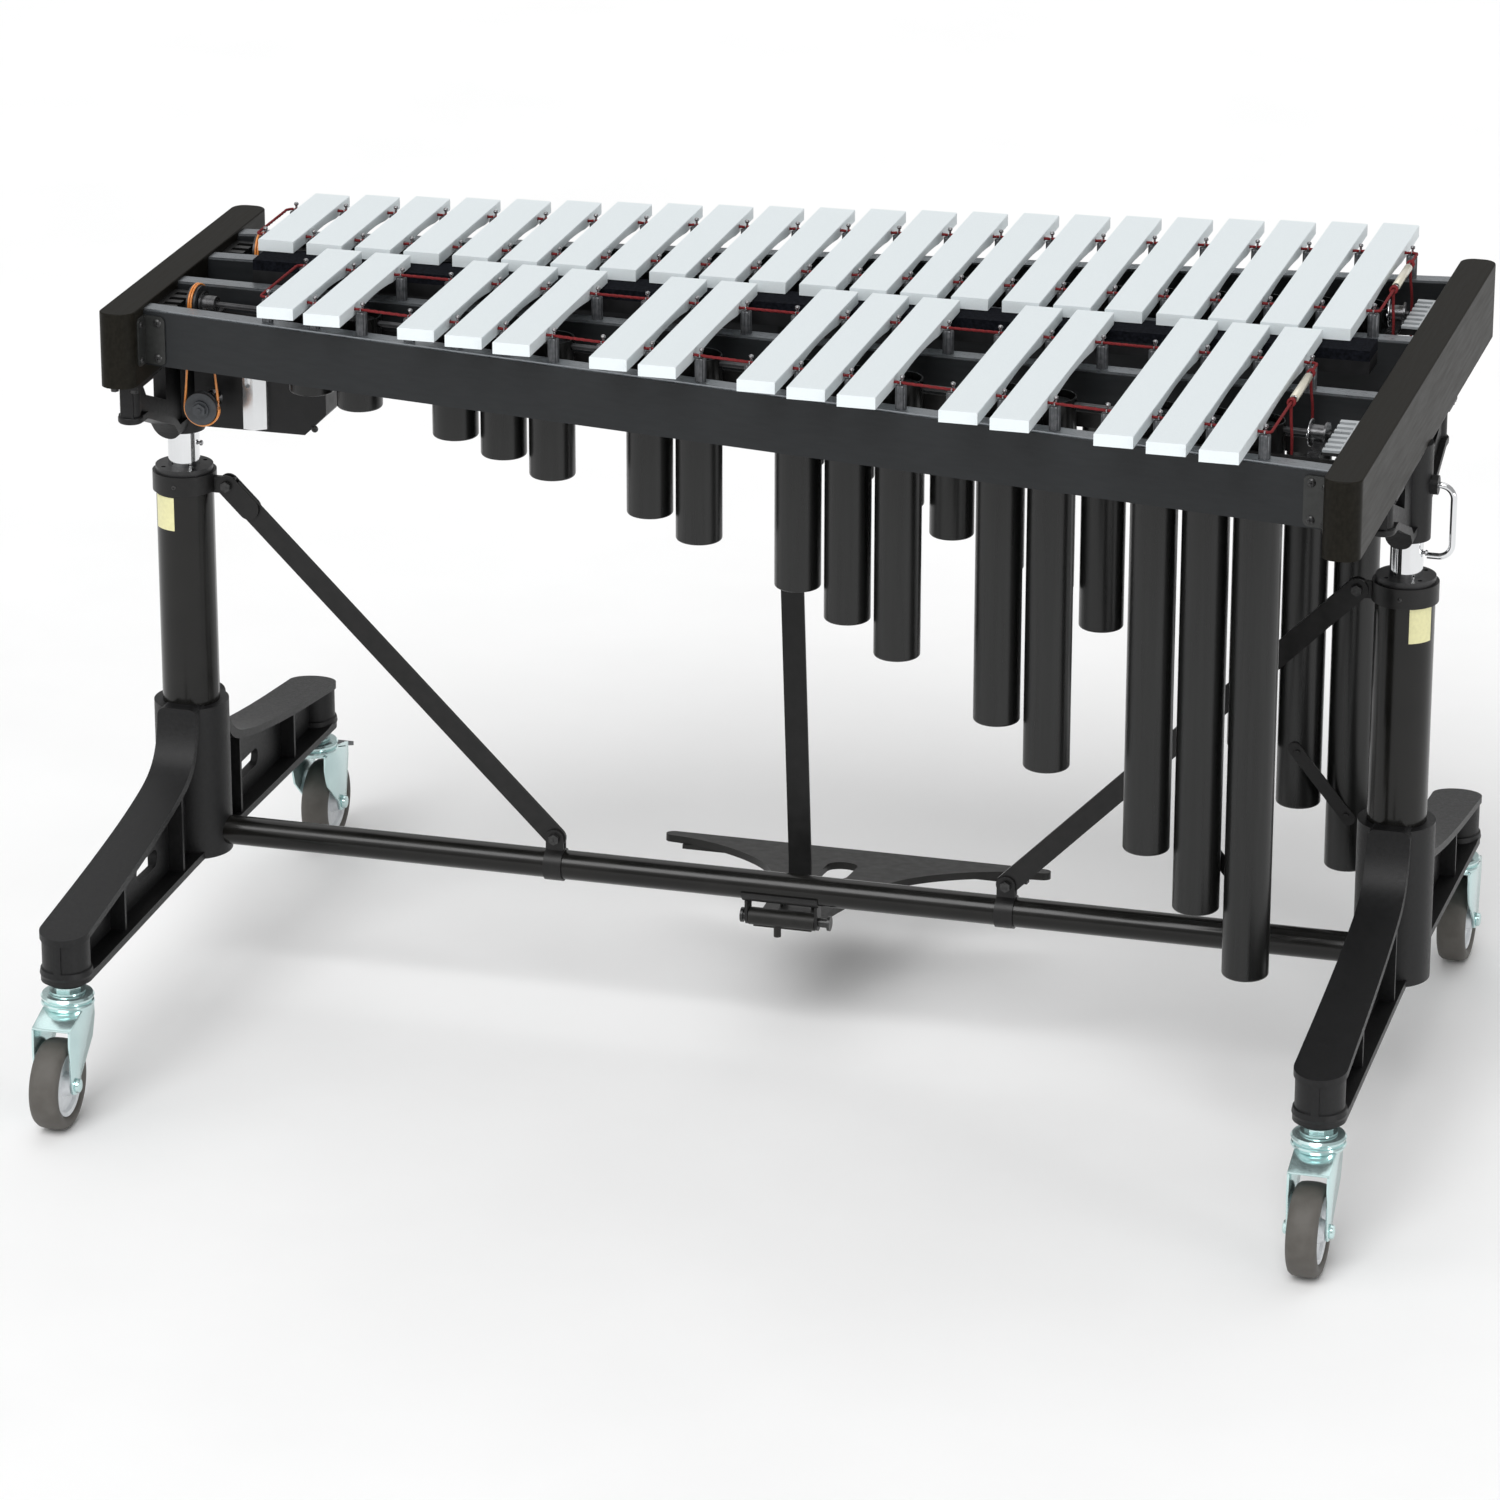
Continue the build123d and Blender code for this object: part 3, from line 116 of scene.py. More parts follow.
def paint_shade_at_high_end(material, shade_colour):
    """Darken a material at the high-note end, which is negative X, as painted shade, and keep its lighter
    colour at the low end, where it stands for painted reflection.
    """
    tree = material.node_tree
    shader = tree.nodes["Principled BSDF"]
    lit_colour = shader.inputs["Base Color"].links[0].from_socket
    coords = next(node for node in tree.nodes if node.type == "TEX_COORD")
    axes = tree.nodes.new("ShaderNodeSeparateXYZ")
    tree.links.new(coords.outputs["Object"], axes.inputs["Vector"])
    lit_low_end = tree.nodes.new("ShaderNodeMath")
    lit_low_end.operation = "GREATER_THAN"
    lit_low_end.inputs[1].default_value = 0.0
    tree.links.new(axes.outputs["X"], lit_low_end.inputs[0])
    mix = tree.nodes.new("ShaderNodeMixRGB")
    mix.inputs["Color1"].default_value = (*shade_colour, 1)
    tree.links.new(lit_low_end.outputs["Value"], mix.inputs["Fac"])
    tree.links.new(lit_colour, mix.inputs["Color2"])
    tree.links.new(mix.outputs["Color"], shader.inputs["Base Color"])


# Keyboard and frame.
surface("bar_alloy", (0.70, 0.755, 0.775), (0.80, 0.855, 0.875), (0.40, 0.50), metallic=0.15, grain=1100,
        stretch=(3, 0.7, 3), bump=0.10, relief=1200, relief_stretch=(5, 0.4, 3), spec=0.4)
surface("black_cast", (0.0050, 0.0050, 0.0053), (0.0085, 0.0085, 0.0090), (0.40, 0.50), grain=260, bump=0.35,
        relief=1700, spec=0.30)
surface("black_rail", (0.012, 0.0133, 0.0146), (0.0145, 0.016, 0.0176), (0.38, 0.46), grain=60,
        stretch=(0.3, 4, 4), bump=0.03, relief=900, spec=0.28)
surface("rail_strip", (0.26, 0.28, 0.30), (0.32, 0.34, 0.36), (0.26, 0.34), metallic=0.8, grain=300,
        stretch=(0.4, 3, 3), bump=0.04, relief=700)
surface("block_black", (0.0085, 0.0076, 0.0056), (0.0125, 0.0112, 0.0085), (0.40, 0.47), grain=38,
        stretch=(9, 0.5, 6), bump=0.02, relief=220, relief_stretch=(10, 0.35, 8), ior=1.16)
surface("black_steel", (0.0045, 0.0043, 0.0037), (0.0070, 0.0066, 0.0058), (0.20, 0.26), grain=30, bump=0.02,
        relief=400, coat=0.15, coat_rough=0.12, spec=0.28)
surface("satin_steel", (0.008, 0.008, 0.008), (0.012, 0.0115, 0.0115), (0.32, 0.42), grain=80, bump=0.05,
        relief=900, spec=0.3)
surface("chrome", (0.72, 0.73, 0.74), (0.82, 0.83, 0.84), (0.06, 0.12), metallic=1.0, grain=40,
        stretch=(1, 1, 0.2), bump=0.01, relief=300)
surface("resonator_black", (0.006, 0.0062, 0.006), (0.009, 0.0092, 0.009), (0.26, 0.32), metallic=0.15,
        grain=45, stretch=(4, 4, 0.15), bump=0.03, relief=600, relief_stretch=(5, 5, 0.2))
surface("post_grey", (0.055, 0.058, 0.062), (0.10, 0.103, 0.11), (0.30, 0.42), metallic=0.4, grain=200,
        bump=0.05, relief=900)
surface("cord_red", (0.10, 0.008, 0.010), (0.22, 0.018, 0.020), (0.75, 0.85), grain=900, bump=0.5,
        relief=1400, spec=0.25)
surface("spring_sleeve", (0.74, 0.70, 0.56), (0.84, 0.80, 0.68), (0.18, 0.26), metallic=0.45, grain=60,
        bump=0.03, relief=800)
surface("bracket_light", (0.66, 0.67, 0.68), (0.72, 0.73, 0.74), (0.20, 0.26), metallic=0.9, grain=15,
        bump=0.02, relief=300)

# Casters, pedal, damper and drive.
surface("zinc", (0.58, 0.76, 0.76), (0.66, 0.84, 0.83), (0.16, 0.22), metallic=0.85, grain=25, bump=0.02,
        relief=300)
surface("wheel", (0.082, 0.076, 0.068), (0.100, 0.094, 0.085), (0.50, 0.60), grain=60, bump=0.10, relief=1200,
        spec=0.35)
surface("brake_grey", (0.07, 0.075, 0.08), (0.10, 0.105, 0.11), (0.45, 0.55), grain=120, bump=0.12,
        relief=1200)
surface("pedal_black", (0.009, 0.009, 0.008), (0.014, 0.0135, 0.0125), (0.40, 0.50), grain=90, bump=0.14,
        relief=1300, spec=0.3)
surface("strap_black", (0.007, 0.007, 0.007), (0.011, 0.011, 0.011), (0.42, 0.52), grain=60, bump=0.08,
        relief=900, spec=0.25)
surface("damper_black", (0.007, 0.007, 0.0075), (0.011, 0.011, 0.012), (0.45, 0.55), grain=60, bump=0.08,
        relief=900, spec=0.25)
surface("felt", (0.0030, 0.0034, 0.0048), (0.0085, 0.0095, 0.0135), (0.95, 1.0), grain=260, bump=0.9,
        relief=520, spec=0.06)
surface("fan_steel", (0.035, 0.035, 0.037), (0.06, 0.06, 0.063), (0.32, 0.46), metallic=0.5, grain=120,
        bump=0.05, relief=800)
surface("pulley_black", (0.028, 0.031, 0.035), (0.045, 0.049, 0.055), (0.42, 0.52), grain=140, bump=0.10,
        relief=1300)
surface("belt_orange", (0.62, 0.20, 0.035), (0.78, 0.30, 0.07), (0.30, 0.42), grain=160, bump=0.08,
        relief=700, coat=0.3)
surface("box_black", (0.0055, 0.0055, 0.006), (0.009, 0.009, 0.0095), (0.36, 0.46), grain=70, bump=0.10,
        relief=1500, spec=0.3)
surface("motor_steel", (0.34, 0.34, 0.35), (0.46, 0.46, 0.47), (0.30, 0.42), metallic=0.9, grain=90,
        bump=0.05, relief=700)
surface("screw_black", (0.03, 0.03, 0.03), (0.055, 0.055, 0.055), (0.26, 0.40), metallic=0.6, grain=300,
        bump=0.05, relief=900)
surface("plastic_black", (0.014, 0.014, 0.015), (0.022, 0.022, 0.023), (0.38, 0.48), grain=120, bump=0.08,
        relief=1500)

# Finishes that only pieces of this script or SPECIAL_FINISH use.
surface("pin_steel", (0.30, 0.30, 0.31), (0.48, 0.48, 0.49), (0.16, 0.28), metallic=0.95, grain=300,
        bump=0.04, relief=800)
surface("hub_grey", (0.60, 0.62, 0.64), (0.68, 0.70, 0.72), (0.32, 0.42), grain=160, bump=0.05, relief=900)
surface("label_cream", (0.72, 0.69, 0.38), (0.78, 0.75, 0.42), (0.35, 0.45), grain=240, bump=0.02, relief=500)
surface("bracket_satin", (0.022, 0.023, 0.022), (0.030, 0.031, 0.030), (0.30, 0.38), metallic=0.2, grain=120,
        bump=0.05, relief=900, spec=0.4)
surface("hanger_steel_shaded", (0.52, 0.55, 0.57), (0.60, 0.63, 0.65), (0.26, 0.36), metallic=0.45, grain=40,
        bump=0.04, relief=700)
surface("bearing_steel", (0.07, 0.07, 0.072), (0.14, 0.14, 0.145), (0.20, 0.32), metallic=0.8, grain=90,
        bump=0.05, relief=700)
# Painted shade: the hanger plates at the high-note end get a near-black colour. The low-end plates keep the
# light steel colour as painted reflection.
paint_shade_at_high_end(MATERIALS["hanger_steel_shaded"], (0.012, 0.012, 0.012))

SPECIAL_FINISH = {"corner_brackets": "bracket_satin", "shaft_bearings": "bearing_steel",
                  "hanger_plates": "hanger_steel_shaded"}
EDGE_ROUNDING = {"end_block": 1.2, "_bars_": 0.7, "corner_brackets": 0.6}
ROUNDING_SEGMENTS, SHARP_EDGE = 2, 40
for entry in frame["record"]["subparts"]:
    node = nodes[entry["node"]]
    node.data.materials.clear()
    node.data.materials.append(MATERIALS[SPECIAL_FINISH.get(entry["node"], entry["material_slot"])])
    for part, width in EDGE_ROUNDING.items():
        if part in entry["node"]:
            rounding = node.modifiers.new("edges", "BEVEL")
            rounding.width = width * MM
            rounding.segments = ROUNDING_SEGMENTS
            rounding.limit_method = "ANGLE"
            rounding.angle_limit = math.radians(SHARP_EDGE)
            rounding.harden_normals = True


# ---- keyboard and stand layout, the same as in the CAD ----------------------------------------------
BAR_PITCH, LOW_BAR_X, CORD_Z = 53.8, 574.0, 837.75
NATURAL_STEPS, ACCIDENTAL_SPAN = 21, 19
ACCIDENTAL_STEPS = [0.5, 1.5, 2.5, 4.5, 5.5, 7.5, 8.5, 9.5, 11.5, 12.5, 14.5, 15.5, 16.5, 18.5, 19.5]
NATURAL_INNER, NATURAL_INNER_DRIFT = 8.5, 4.5
NATURAL_LENGTH, NATURAL_TAPER = 390, 207
ACCIDENTAL_INNER, ACCIDENTAL_LENGTH, ACCIDENTAL_TAPER = -0.5, 415.5, 198.5
NODE_SHARE = 0.224
STRIP_TOP, POST_TOP = 811.0, 835.5
SPRING_Y = {"natural": (181.0, 270.0), "accidental": (-132.0, -224.0)}
ROW_SIDE = {"natural": 1, "accidental": -1}
FAN_SHAFT_Z, PULLEY_X, MOTOR_X, MOTOR_Z, MOTOR_PULLEY_Y = 804.0, -604.0, -602.0, 689.0, 98.0
COLUMN_X, CASTER_Y, AXLE_Y, WHEEL_R = 661.0, 388.0, 425.0, 48.0


def bar_x(step):
    return LOW_BAR_X - BAR_PITCH * step


def span(row, x):
    """Inner and outer bar ends of a row at x."""
    step = (LOW_BAR_X - x) / BAR_PITCH
    if row == "natural":
        part = step / NATURAL_STEPS
        inner = NATURAL_INNER + NATURAL_INNER_DRIFT * part
        return inner, inner + NATURAL_LENGTH - NATURAL_TAPER * part
    shorter = ACCIDENTAL_TAPER * (step - ACCIDENTAL_STEPS[0]) / ACCIDENTAL_SPAN
    return ACCIDENTAL_INNER, ACCIDENTAL_INNER - ACCIDENTAL_LENGTH + shorter


def node_y(row, side, x):
    """Y of the cord, which runs through the bars at their nodes; side 0 is the inner one."""
    inner, outer = span(row, x)
    reach = (outer - inner) * NODE_SHARE
    return outer - reach if side else inner + reach


def centre_y(row, x):
    return sum(span(row, x)) / 2


def post_steps(row):
    """Places of the posts, counted in bars from the lowest natural."""
    if row == "natural":
        return [step - 0.5 for step in range(NATURAL_STEPS + 2)]
    return sorted({step + shift for step in ACCIDENTAL_STEPS for shift in (-0.5, 0.5)})


def row_direction(row):
    """Unit vector along the middle of a row, to the high notes."""
    return Vector((-1.0, centre_y(row, -0.5) - centre_y(row, 0.5), 0.0)).normalized()


# ---- mesh building ----------------------------------------------------------------------------------
class Shape:
    """Collects closed forms, given in millimetres, into one mesh piece."""

    def __init__(self):
        self.mesh = bmesh.new()

    def rings(self, loops, closed=False):
        """Skin over loops of points that have the same count, with end caps unless it closes on itself."""
        rows = [[self.mesh.verts.new(Vector(point) * MM) for point in loop] for loop in loops]
        count = len(rows[0])
        pairs = list(zip(rows, rows[1:] + rows[:1])) if closed else list(zip(rows, rows[1:]))
        for low, high in pairs:
            for index in range(count):
                after = (index + 1) % count
                self.mesh.faces.new((low[index], low[after], high[after], high[index]))
        if not closed:
            self.mesh.faces.new(rows[0][::-1])
            self.mesh.faces.new(rows[-1])

    def turned(self, place, axis, profile, sides=32, lobes=0, depth=0.0):
        """Turned form: profile is (distance along the axis, radius); lobes add lengthwise ribs."""
        turn = Vector(axis).to_track_quat("Z", "Y").to_matrix()
        loops = []
        for along, radius in profile:
            loop = []
            for index in range(sides):
                angle = 2 * math.pi * index / sides
                wide = max(radius, 0.01) * (1 + depth * math.cos(lobes * angle))
                across = (wide * math.cos(angle), wide * math.sin(angle), along)
                loop.append(Vector(place) + turn @ Vector(across))
            loops.append(loop)
        self.rings(loops)

    def ring(self, place, axis, profile, sides=32):
        """Turned form that is open in the middle: the profile is a closed outline."""
        turn = Vector(axis).to_track_quat("Z", "Y").to_matrix()
        loops = []
        for index in range(sides):
            angle = 2 * math.pi * index / sides
            across = Vector((math.cos(angle), math.sin(angle), 0))
            loops.append([Vector(place) + turn @ (across * radius + Vector((0, 0, along)))
                          for along, radius in profile])
        self.rings(loops, closed=True)

    def wire(self, points, radius, sides=8, closed=False, strands=0, lay=0.0, depth=0.0):
        """Round wire along points; strands and lay give it the ridges of a laid cord."""
        points = [Vector(point) for point in points]
        count = len(points)
        side = None
        run = 0.0
        loops = []
        for index, point in enumerate(points):
            before = points[index - 1] if index or closed else point
            after = points[(index + 1) % count] if index < count - 1 or closed else point
            ahead = (after - before).normalized()
            if side is None:
                side = ahead.orthogonal().normalized()
            side = (side - ahead * side.dot(ahead)).normalized()
            other = ahead.cross(side)
            run += (point - points[index - 1]).length if index else 0.0
            loop = []
            for corner in range(sides):
                angle = 2 * math.pi * corner / sides
                wide = radius * (1 + depth * math.cos(strands * angle - lay * run))
                loop.append(point + side * (wide * math.cos(angle)) + other * (wide * math.sin(angle)))
            loops.append(loop)
        self.rings(loops, closed=closed)

    def slab(self, outline, low, high, upright=True):
        """Flat plate: an outline in the YZ plane thickened along X or, not upright, in XY along Z."""
        def place(point, level):
            return (level, *point) if upright else (*point, level)

        self.rings([[place(point, level) for point in outline] for level in (low, high)])

    def bevel(self, width, segments, sharp):
        """Round every edge sharper than the given angle."""
        self.mesh.normal_update()
        edges = [edge for edge in self.mesh.edges
                 if edge.is_manifold and edge.calc_face_angle(0) > math.radians(sharp)]
        bmesh.ops.bevel(self.mesh, geom=edges, offset=width * MM, segments=segments, affect="EDGES",
                        profile=0.5)

    def piece(self, name, material, body, smooth=35.0, replaces=(), slot=None):
        """Finish the mesh as an object that rides on a body."""
        bmesh.ops.recalc_face_normals(self.mesh, faces=self.mesh.faces)
        self.mesh.normal_update()
        for face in self.mesh.faces:
            face.smooth = True
        for edge in self.mesh.edges:
            edge.smooth = not (edge.is_manifold and edge.calc_face_angle(0) > math.radians(smooth))
        data = bpy.data.meshes.new(name)
        self.mesh.to_mesh(data)
        self.mesh.free()
        thing = bpy.data.objects.new(name, data)
        bpy.context.scene.collection.objects.link(thing)
        data.materials.append(MATERIALS[material])
        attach(thing, body)
        if replaces:
            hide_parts(*replaces)


def arc(centre, one, two, radius, start, stop, steps):
    """Points on an arc in the plane of two unit vectors, angles in degrees."""
    centre, one, two = Vector(centre), Vector(one), Vector(two)
    angles = [math.radians(start + (stop - start) * index / steps) for index in range(steps + 1)]
    return [centre + one * (radius * math.cos(angle)) + two * (radius * math.sin(angle)) for angle in angles]


# ---- posts and pins ---------------------------------------------------------------------------------
POST_HEIGHT, POST_R, POST_TOP_R, POST_BEVEL = POST_TOP - STRIP_TOP, 5.7, 4.8, 1.2
POST_RIBS, RIB_DEPTH = 12, 0.05
POST_PROFILE = [(0, POST_R), (POST_HEIGHT - POST_BEVEL, POST_R), (POST_HEIGHT, POST_TOP_R)]
PIN_OFFSET = 4.0
PIN_PROFILE = [(-0.5, 2.6), (1.2, 2.6), (1.4, 1.3), (5.0, 1.3), (5.6, 1.9), (6.6, 2.5), (7.9, 2.5),
               (8.8, 1.8), (9.3, 0.4)]
HOOK_R, HOOK_WIRE_R, HOOK_START, HOOK_STOP = 3.1, 0.8, 20, -215

posts, pins = Shape(), Shape()
for row in SPRING_Y:
    for step in post_steps(row):
        x = bar_x(step)
        for side in (0, 1):
            y = node_y(row, side, x)
            posts.turned((x, y, STRIP_TOP), UP, POST_PROFILE, sides=48, lobes=POST_RIBS, depth=RIB_DEPTH)
            pins.turned((x, y + PIN_OFFSET, POST_TOP), UP, PIN_PROFILE, sides=14)
            hook = arc((x, y, CORD_Z), ALONG_Y, UP, HOOK_R, HOOK_START, HOOK_STOP, 12)
            pins.wire(hook, HOOK_WIRE_R, sides=7)
posts.piece("post_sleeves", "post_grey", "upper_frame", replaces=("bar_posts",))
pins.piece("post_hooks", "pin_steel", "upper_frame", slot="post_grey")

# ---- suspension cords and their springs -------------------------------------------------------------
LOOP_CORNER, CORNER_STEPS, CORD_STEP = 5.0, 6, 1.6
LOW_END_REACH, HIGH_END_REACH = 6.0, 8.0
CORD_R, CORD_STRANDS, CORD_LAY, CORD_RIDGE, KNOT_RIDGE = 1.45, 3, 0.75, 0.16, 0.14
SLEEVE_START, SLEEVE_SHORTER, SLEEVE_LIP = 9.0, 18, 0.8
SLEEVE_BORE_R, SLEEVE_LIP_R, SLEEVE_R = 3.3, 3.9, 4.3
SPRING_R, SPRING_WIRE_R, SPRING_TURNS, SPRING_SIDES, SPRING_INSET = 2.6, 0.6, 13, 14, 4.0
EYE_R, EYE_WIRE_R, EYE_INSET, EYE_ANGLE = 2.8, 0.7, 2.0, 330
KNOT_R, KNOT_CORD_R, KNOT_OFFSET, KNOT_ANGLE = 3.3, 1.35, 2.5, 345
KNOT_TURNS = ((-1.6, 0.5), (0.4, -0.6), (2.2, 0.2))


def at_cord(point):
    return Vector((*point, CORD_Z))


def loop_corners(row, spring):
    """The cord's corners in plan, from one end of the spring round the row to its other end."""
    steps = post_steps(row)
    low_x, high_x = bar_x(steps[0]) + LOW_END_REACH, bar_x(steps[-1]) - HIGH_END_REACH
    return [(low_x, spring[0]), (low_x, node_y(row, 0, low_x)), (high_x, node_y(row, 0, high_x)),
            (high_x, node_y(row, 1, high_x)), (low_x, node_y(row, 1, low_x)), (low_x, spring[1])]


def rounded_path(corners):
    """The corners joined by straight runs, each bend rounded off."""
    path = [at_cord(corners[0])]
    for before, here, after in zip(corners, corners[1:], corners[2:]):
        here = at_cord(here)
        back = (at_cord(before) - here).normalized() * LOOP_CORNER
        ahead = (at_cord(after) - here).normalized() * LOOP_CORNER
        for index in range(CORNER_STEPS + 1):
            part = index / CORNER_STEPS
            path.append(here + back * (1 - part) ** 2 + ahead * part ** 2)
    path.append(at_cord(corners[-1]))
    return path


def subdivided(path, step):
    fine = [path[0]]
    for start, stop in zip(path, path[1:]):
        cuts = max(1, round((stop - start).length / step))
        fine += [start.lerp(stop, index / cuts) for index in range(1, cuts + 1)]
    return fine


cords, knots, sleeves, coils = Shape(), Shape(), Shape(), Shape()
for row, spring in SPRING_Y.items():
    away = ROW_SIDE[row]
    corners = loop_corners(row, spring)
    low_x = corners[0][0]
    cords.wire(subdivided(rounded_path(corners), CORD_STEP), CORD_R, sides=9, strands=CORD_STRANDS,
               lay=CORD_LAY, depth=CORD_RIDGE)
    length = abs(spring[1] - spring[0])
    sleeve = length - SLEEVE_SHORTER
    sleeves.ring((low_x, spring[0] + away * SLEEVE_START, CORD_Z), (0, away, 0),
                 [(0, SLEEVE_BORE_R), (0, SLEEVE_LIP_R), (SLEEVE_LIP, SLEEVE_R),
                  (sleeve - SLEEVE_LIP, SLEEVE_R), (sleeve, SLEEVE_LIP_R), (sleeve, SLEEVE_BORE_R)])
    helix = []
    for index in range(SPRING_TURNS * SPRING_SIDES + 1):
        angle = 2 * math.pi * index / SPRING_SIDES
        stretch = (length - 2 * SPRING_INSET) * index / (SPRING_TURNS * SPRING_SIDES)
        helix.append((low_x + SPRING_R * math.cos(angle), spring[0] + away * (SPRING_INSET + stretch),
                      CORD_Z + SPRING_R * math.sin(angle)))
    coils.wire(helix, SPRING_WIRE_R, sides=7)
    for end, inward in ((spring[0], away), (spring[1], -away)):
        eye = arc((low_x, end + inward * EYE_INSET, CORD_Z), ALONG_Y, UP, EYE_R, 0, EYE_ANGLE, 16)
        coils.wire(eye, EYE_WIRE_R, sides=7)
        for shift, tilt in KNOT_TURNS:
            lean = Vector((1.0, 0.0, tilt)).normalized()
            across = Vector((-tilt, 0.5, 1.0)).normalized()
            centre = (low_x, end - inward * (KNOT_OFFSET + shift), CORD_Z)
            knots.wire(arc(centre, lean, across, KNOT_R, 0, KNOT_ANGLE, 18), KNOT_CORD_R, closed=True,
                       strands=CORD_STRANDS, lay=CORD_LAY, depth=KNOT_RIDGE)
cords.piece("laid_cords", "cord_red", "upper_frame", smooth=70, replaces=("suspension_cords",))
knots.piece("cord_knots", "cord_red", "upper_frame", smooth=70)
sleeves.piece("spring_sleeves", "spring_sleeve", "upper_frame", replaces=("cord_springs",))
coils.piece("tension_springs", "pin_steel", "upper_frame", slot="post_grey")

# ---- loose cord ends, with the same route points as their CAD tubes ---------------------------------
TAIL_TOP, TAIL_RADIUS = 835.95, 1.5
TAIL_ORDER, TAIL_SMOOTHNESS, TAIL_ROUNDNESS = 3, 12, 3
# Each route point: shift along X, share of the tail's drift along Y, and drop below TAIL_TOP.
TAIL_ROUTE = ((0, 0, 0), (0, 0.2, -14), (2.5, 0.8, -34), (2.0, 1, -60), (3.0, 0.9, -92))
# Each tail: X and Y of its top, and its drift along Y.
TAILS = {
    "natural_inner": (606.9, 177.0, -9.0),
    "natural_outer": (606.9, 274.0, 3.0),
    "accidental_inner": (580.0, -128.0, 3.0),
    "accidental_outer": (580.0, -228.0, -3.0),
}
for name, (x, y, drift) in TAILS.items():
    route = [Vector((x + right, y + drift * share, TAIL_TOP + drop)) for right, share, drop in TAIL_ROUTE]
    curve = bpy.data.curves.new(f"tail_{name}", "CURVE")
    curve.dimensions = "3D"
    spline = curve.splines.new("NURBS")
    spline.points.add(len(route) - 1)
    for point, place in zip(spline.points, route):
        point.co = (*(place * MM), 1.0)
    spline.order_u = TAIL_ORDER
    spline.use_endpoint_u = True
    spline.resolution_u = TAIL_SMOOTHNESS
    curve.bevel_depth = TAIL_RADIUS * MM
    curve.bevel_resolution = TAIL_ROUNDNESS
    curve.use_fill_caps = True
    curve.materials.append(MATERIALS["cord_red"])
    tail = bpy.data.objects.new(f"tail_{name}", curve)
    bpy.context.scene.collection.objects.link(tail)
    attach(tail, "upper_frame")
    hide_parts("cord_tails")

# ---- drive belts, two strands each ------------------------------------------------------------------
LOWER_R, UPPER_R, BELT_R, STRAND_OFFSET = 18.9, 19.4, 1.15, 1.35
WRAP_STEPS, RUN_STEPS = 24, 12

belts = Shape()
for row, side in ROW_SIDE.items():
    along = row_direction(row)
    across = Vector((along.y, -along.x, 0.0))
    upper = Vector((PULLEY_X, centre_y(row, PULLEY_X), FAN_SHAFT_Z))
    lower = Vector((MOTOR_X, side * MOTOR_PULLEY_Y, MOTOR_Z))
    for strand in (-STRAND_OFFSET, STRAND_OFFSET):
        low = arc(lower + Vector((0, strand, 0)), ALONG_X, UP, LOWER_R, 0, -180, WRAP_STEPS)
        high = arc(upper + along * strand, -across, UP, UPPER_R, 0, 180, WRAP_STEPS)
        rise = [low[-1].lerp(high[0], index / RUN_STEPS) for index in range(1, RUN_STEPS)]
        fall = [high[-1].lerp(low[0], index / RUN_STEPS) for index in range(1, RUN_STEPS)]
        belts.wire(low + rise + high + fall, BELT_R, sides=10, closed=True)
belts.piece("belt_strands", "belt_orange", "upper_frame", smooth=80, replaces=("drive_belts",))

# ---- screws -----------------------------------------------------------------------------------------
PAN_HEAD = [(0, 3.9), (0.7, 3.9), (1.6, 3.1), (2.2, 1.9), (2.4, 0.4)]
RECESS_HALF, RECESS_HALF_WIDTH, RECESS_DEPTHS = 2.2, 0.45, (1.9, 2.52)
HEXAGON_HEAD = [(0, 6.2), (0.8, 6.2), (0.9, 4.6), (4.2, 4.6), (4.6, 4.0)]
BRACKET_SCREW_Z = (760.0, 798.0)
RAIL_SCREW_X, RAIL_SCREW_OFFSET, RAIL_SCREW_SIZE = 625.0, 14.0, 1.15
BLOCK_SCREW_X, BLOCK_SCREW_OFFSET, BLOCK_SCREW_SIZE = 640.0, 25.5, 0.9
YOKE_BOLT_Y, YOKE_BOLT_REACH, YOKE_BOLT_Z = 167.0, 11.0, 727.0
COLLAR_SCREW_Y, COLLAR_SCREW_Z, COLLAR_SCREW_SIZE = -34.4, 575.0, 0.6
BOX_SCREW_X, BOX_SCREW_Y, BOX_SCREW_Z = (-491.0, -612.0), -60.0, 664.0

screws, slots = Shape(), Shape()


def cross_screw(place, axis, head=1.0):
    """Pan-head screw with a cross recess shown as two dark bars."""
    screws.turned(place, axis, [(along * head, radius * head) for along, radius in PAN_HEAD], sides=20)
    turn = Vector(axis).to_track_quat("Z", "Y").to_matrix()
    one, two = RECESS_HALF_WIDTH * head, RECESS_HALF * head
    for a, b in ((one, two), (two, one)):
        outline = [(-a, -b), (a, -b), (a, b), (-a, b)]
        slots.rings([[Vector(place) + turn @ Vector((*corner, depth * head)) for corner in outline]
                     for depth in RECESS_DEPTHS])


for row, outward in ROW_SIDE.items():
    for end in (-1, 1):
        x, x_block = end * RAIL_SCREW_X, end * BLOCK_SCREW_X
        y = node_y(row, 1, x) + outward * RAIL_SCREW_OFFSET
        y_block = node_y(row, 1, x_block) + outward * BLOCK_SCREW_OFFSET
        for z in BRACKET_SCREW_Z:
            cross_screw((x, y, z), (0, outward, 0), RAIL_SCREW_SIZE)
            cross_screw((x_block, y_block, z), (-end, 0, 0), BLOCK_SCREW_SIZE)
for x in (-COLUMN_X, COLUMN_X):
    for y in (-YOKE_BOLT_Y, YOKE_BOLT_Y):
        for reach in (-YOKE_BOLT_REACH, YOKE_BOLT_REACH):
            screws.turned((x + reach, y, YOKE_BOLT_Z), DOWN, HEXAGON_HEAD, sides=6)
    cross_screw((x, COLLAR_SCREW_Y, COLLAR_SCREW_Z), TO_AUDIENCE, COLLAR_SCREW_SIZE)
for x in BOX_SCREW_X:
    cross_screw((x, BOX_SCREW_Y, BOX_SCREW_Z), TO_AUDIENCE)
screws.piece("screw_heads", "screw_black", "upper_frame", replaces=("frame_screws",))
slots.piece("screw_slots", "box_black", "upper_frame")

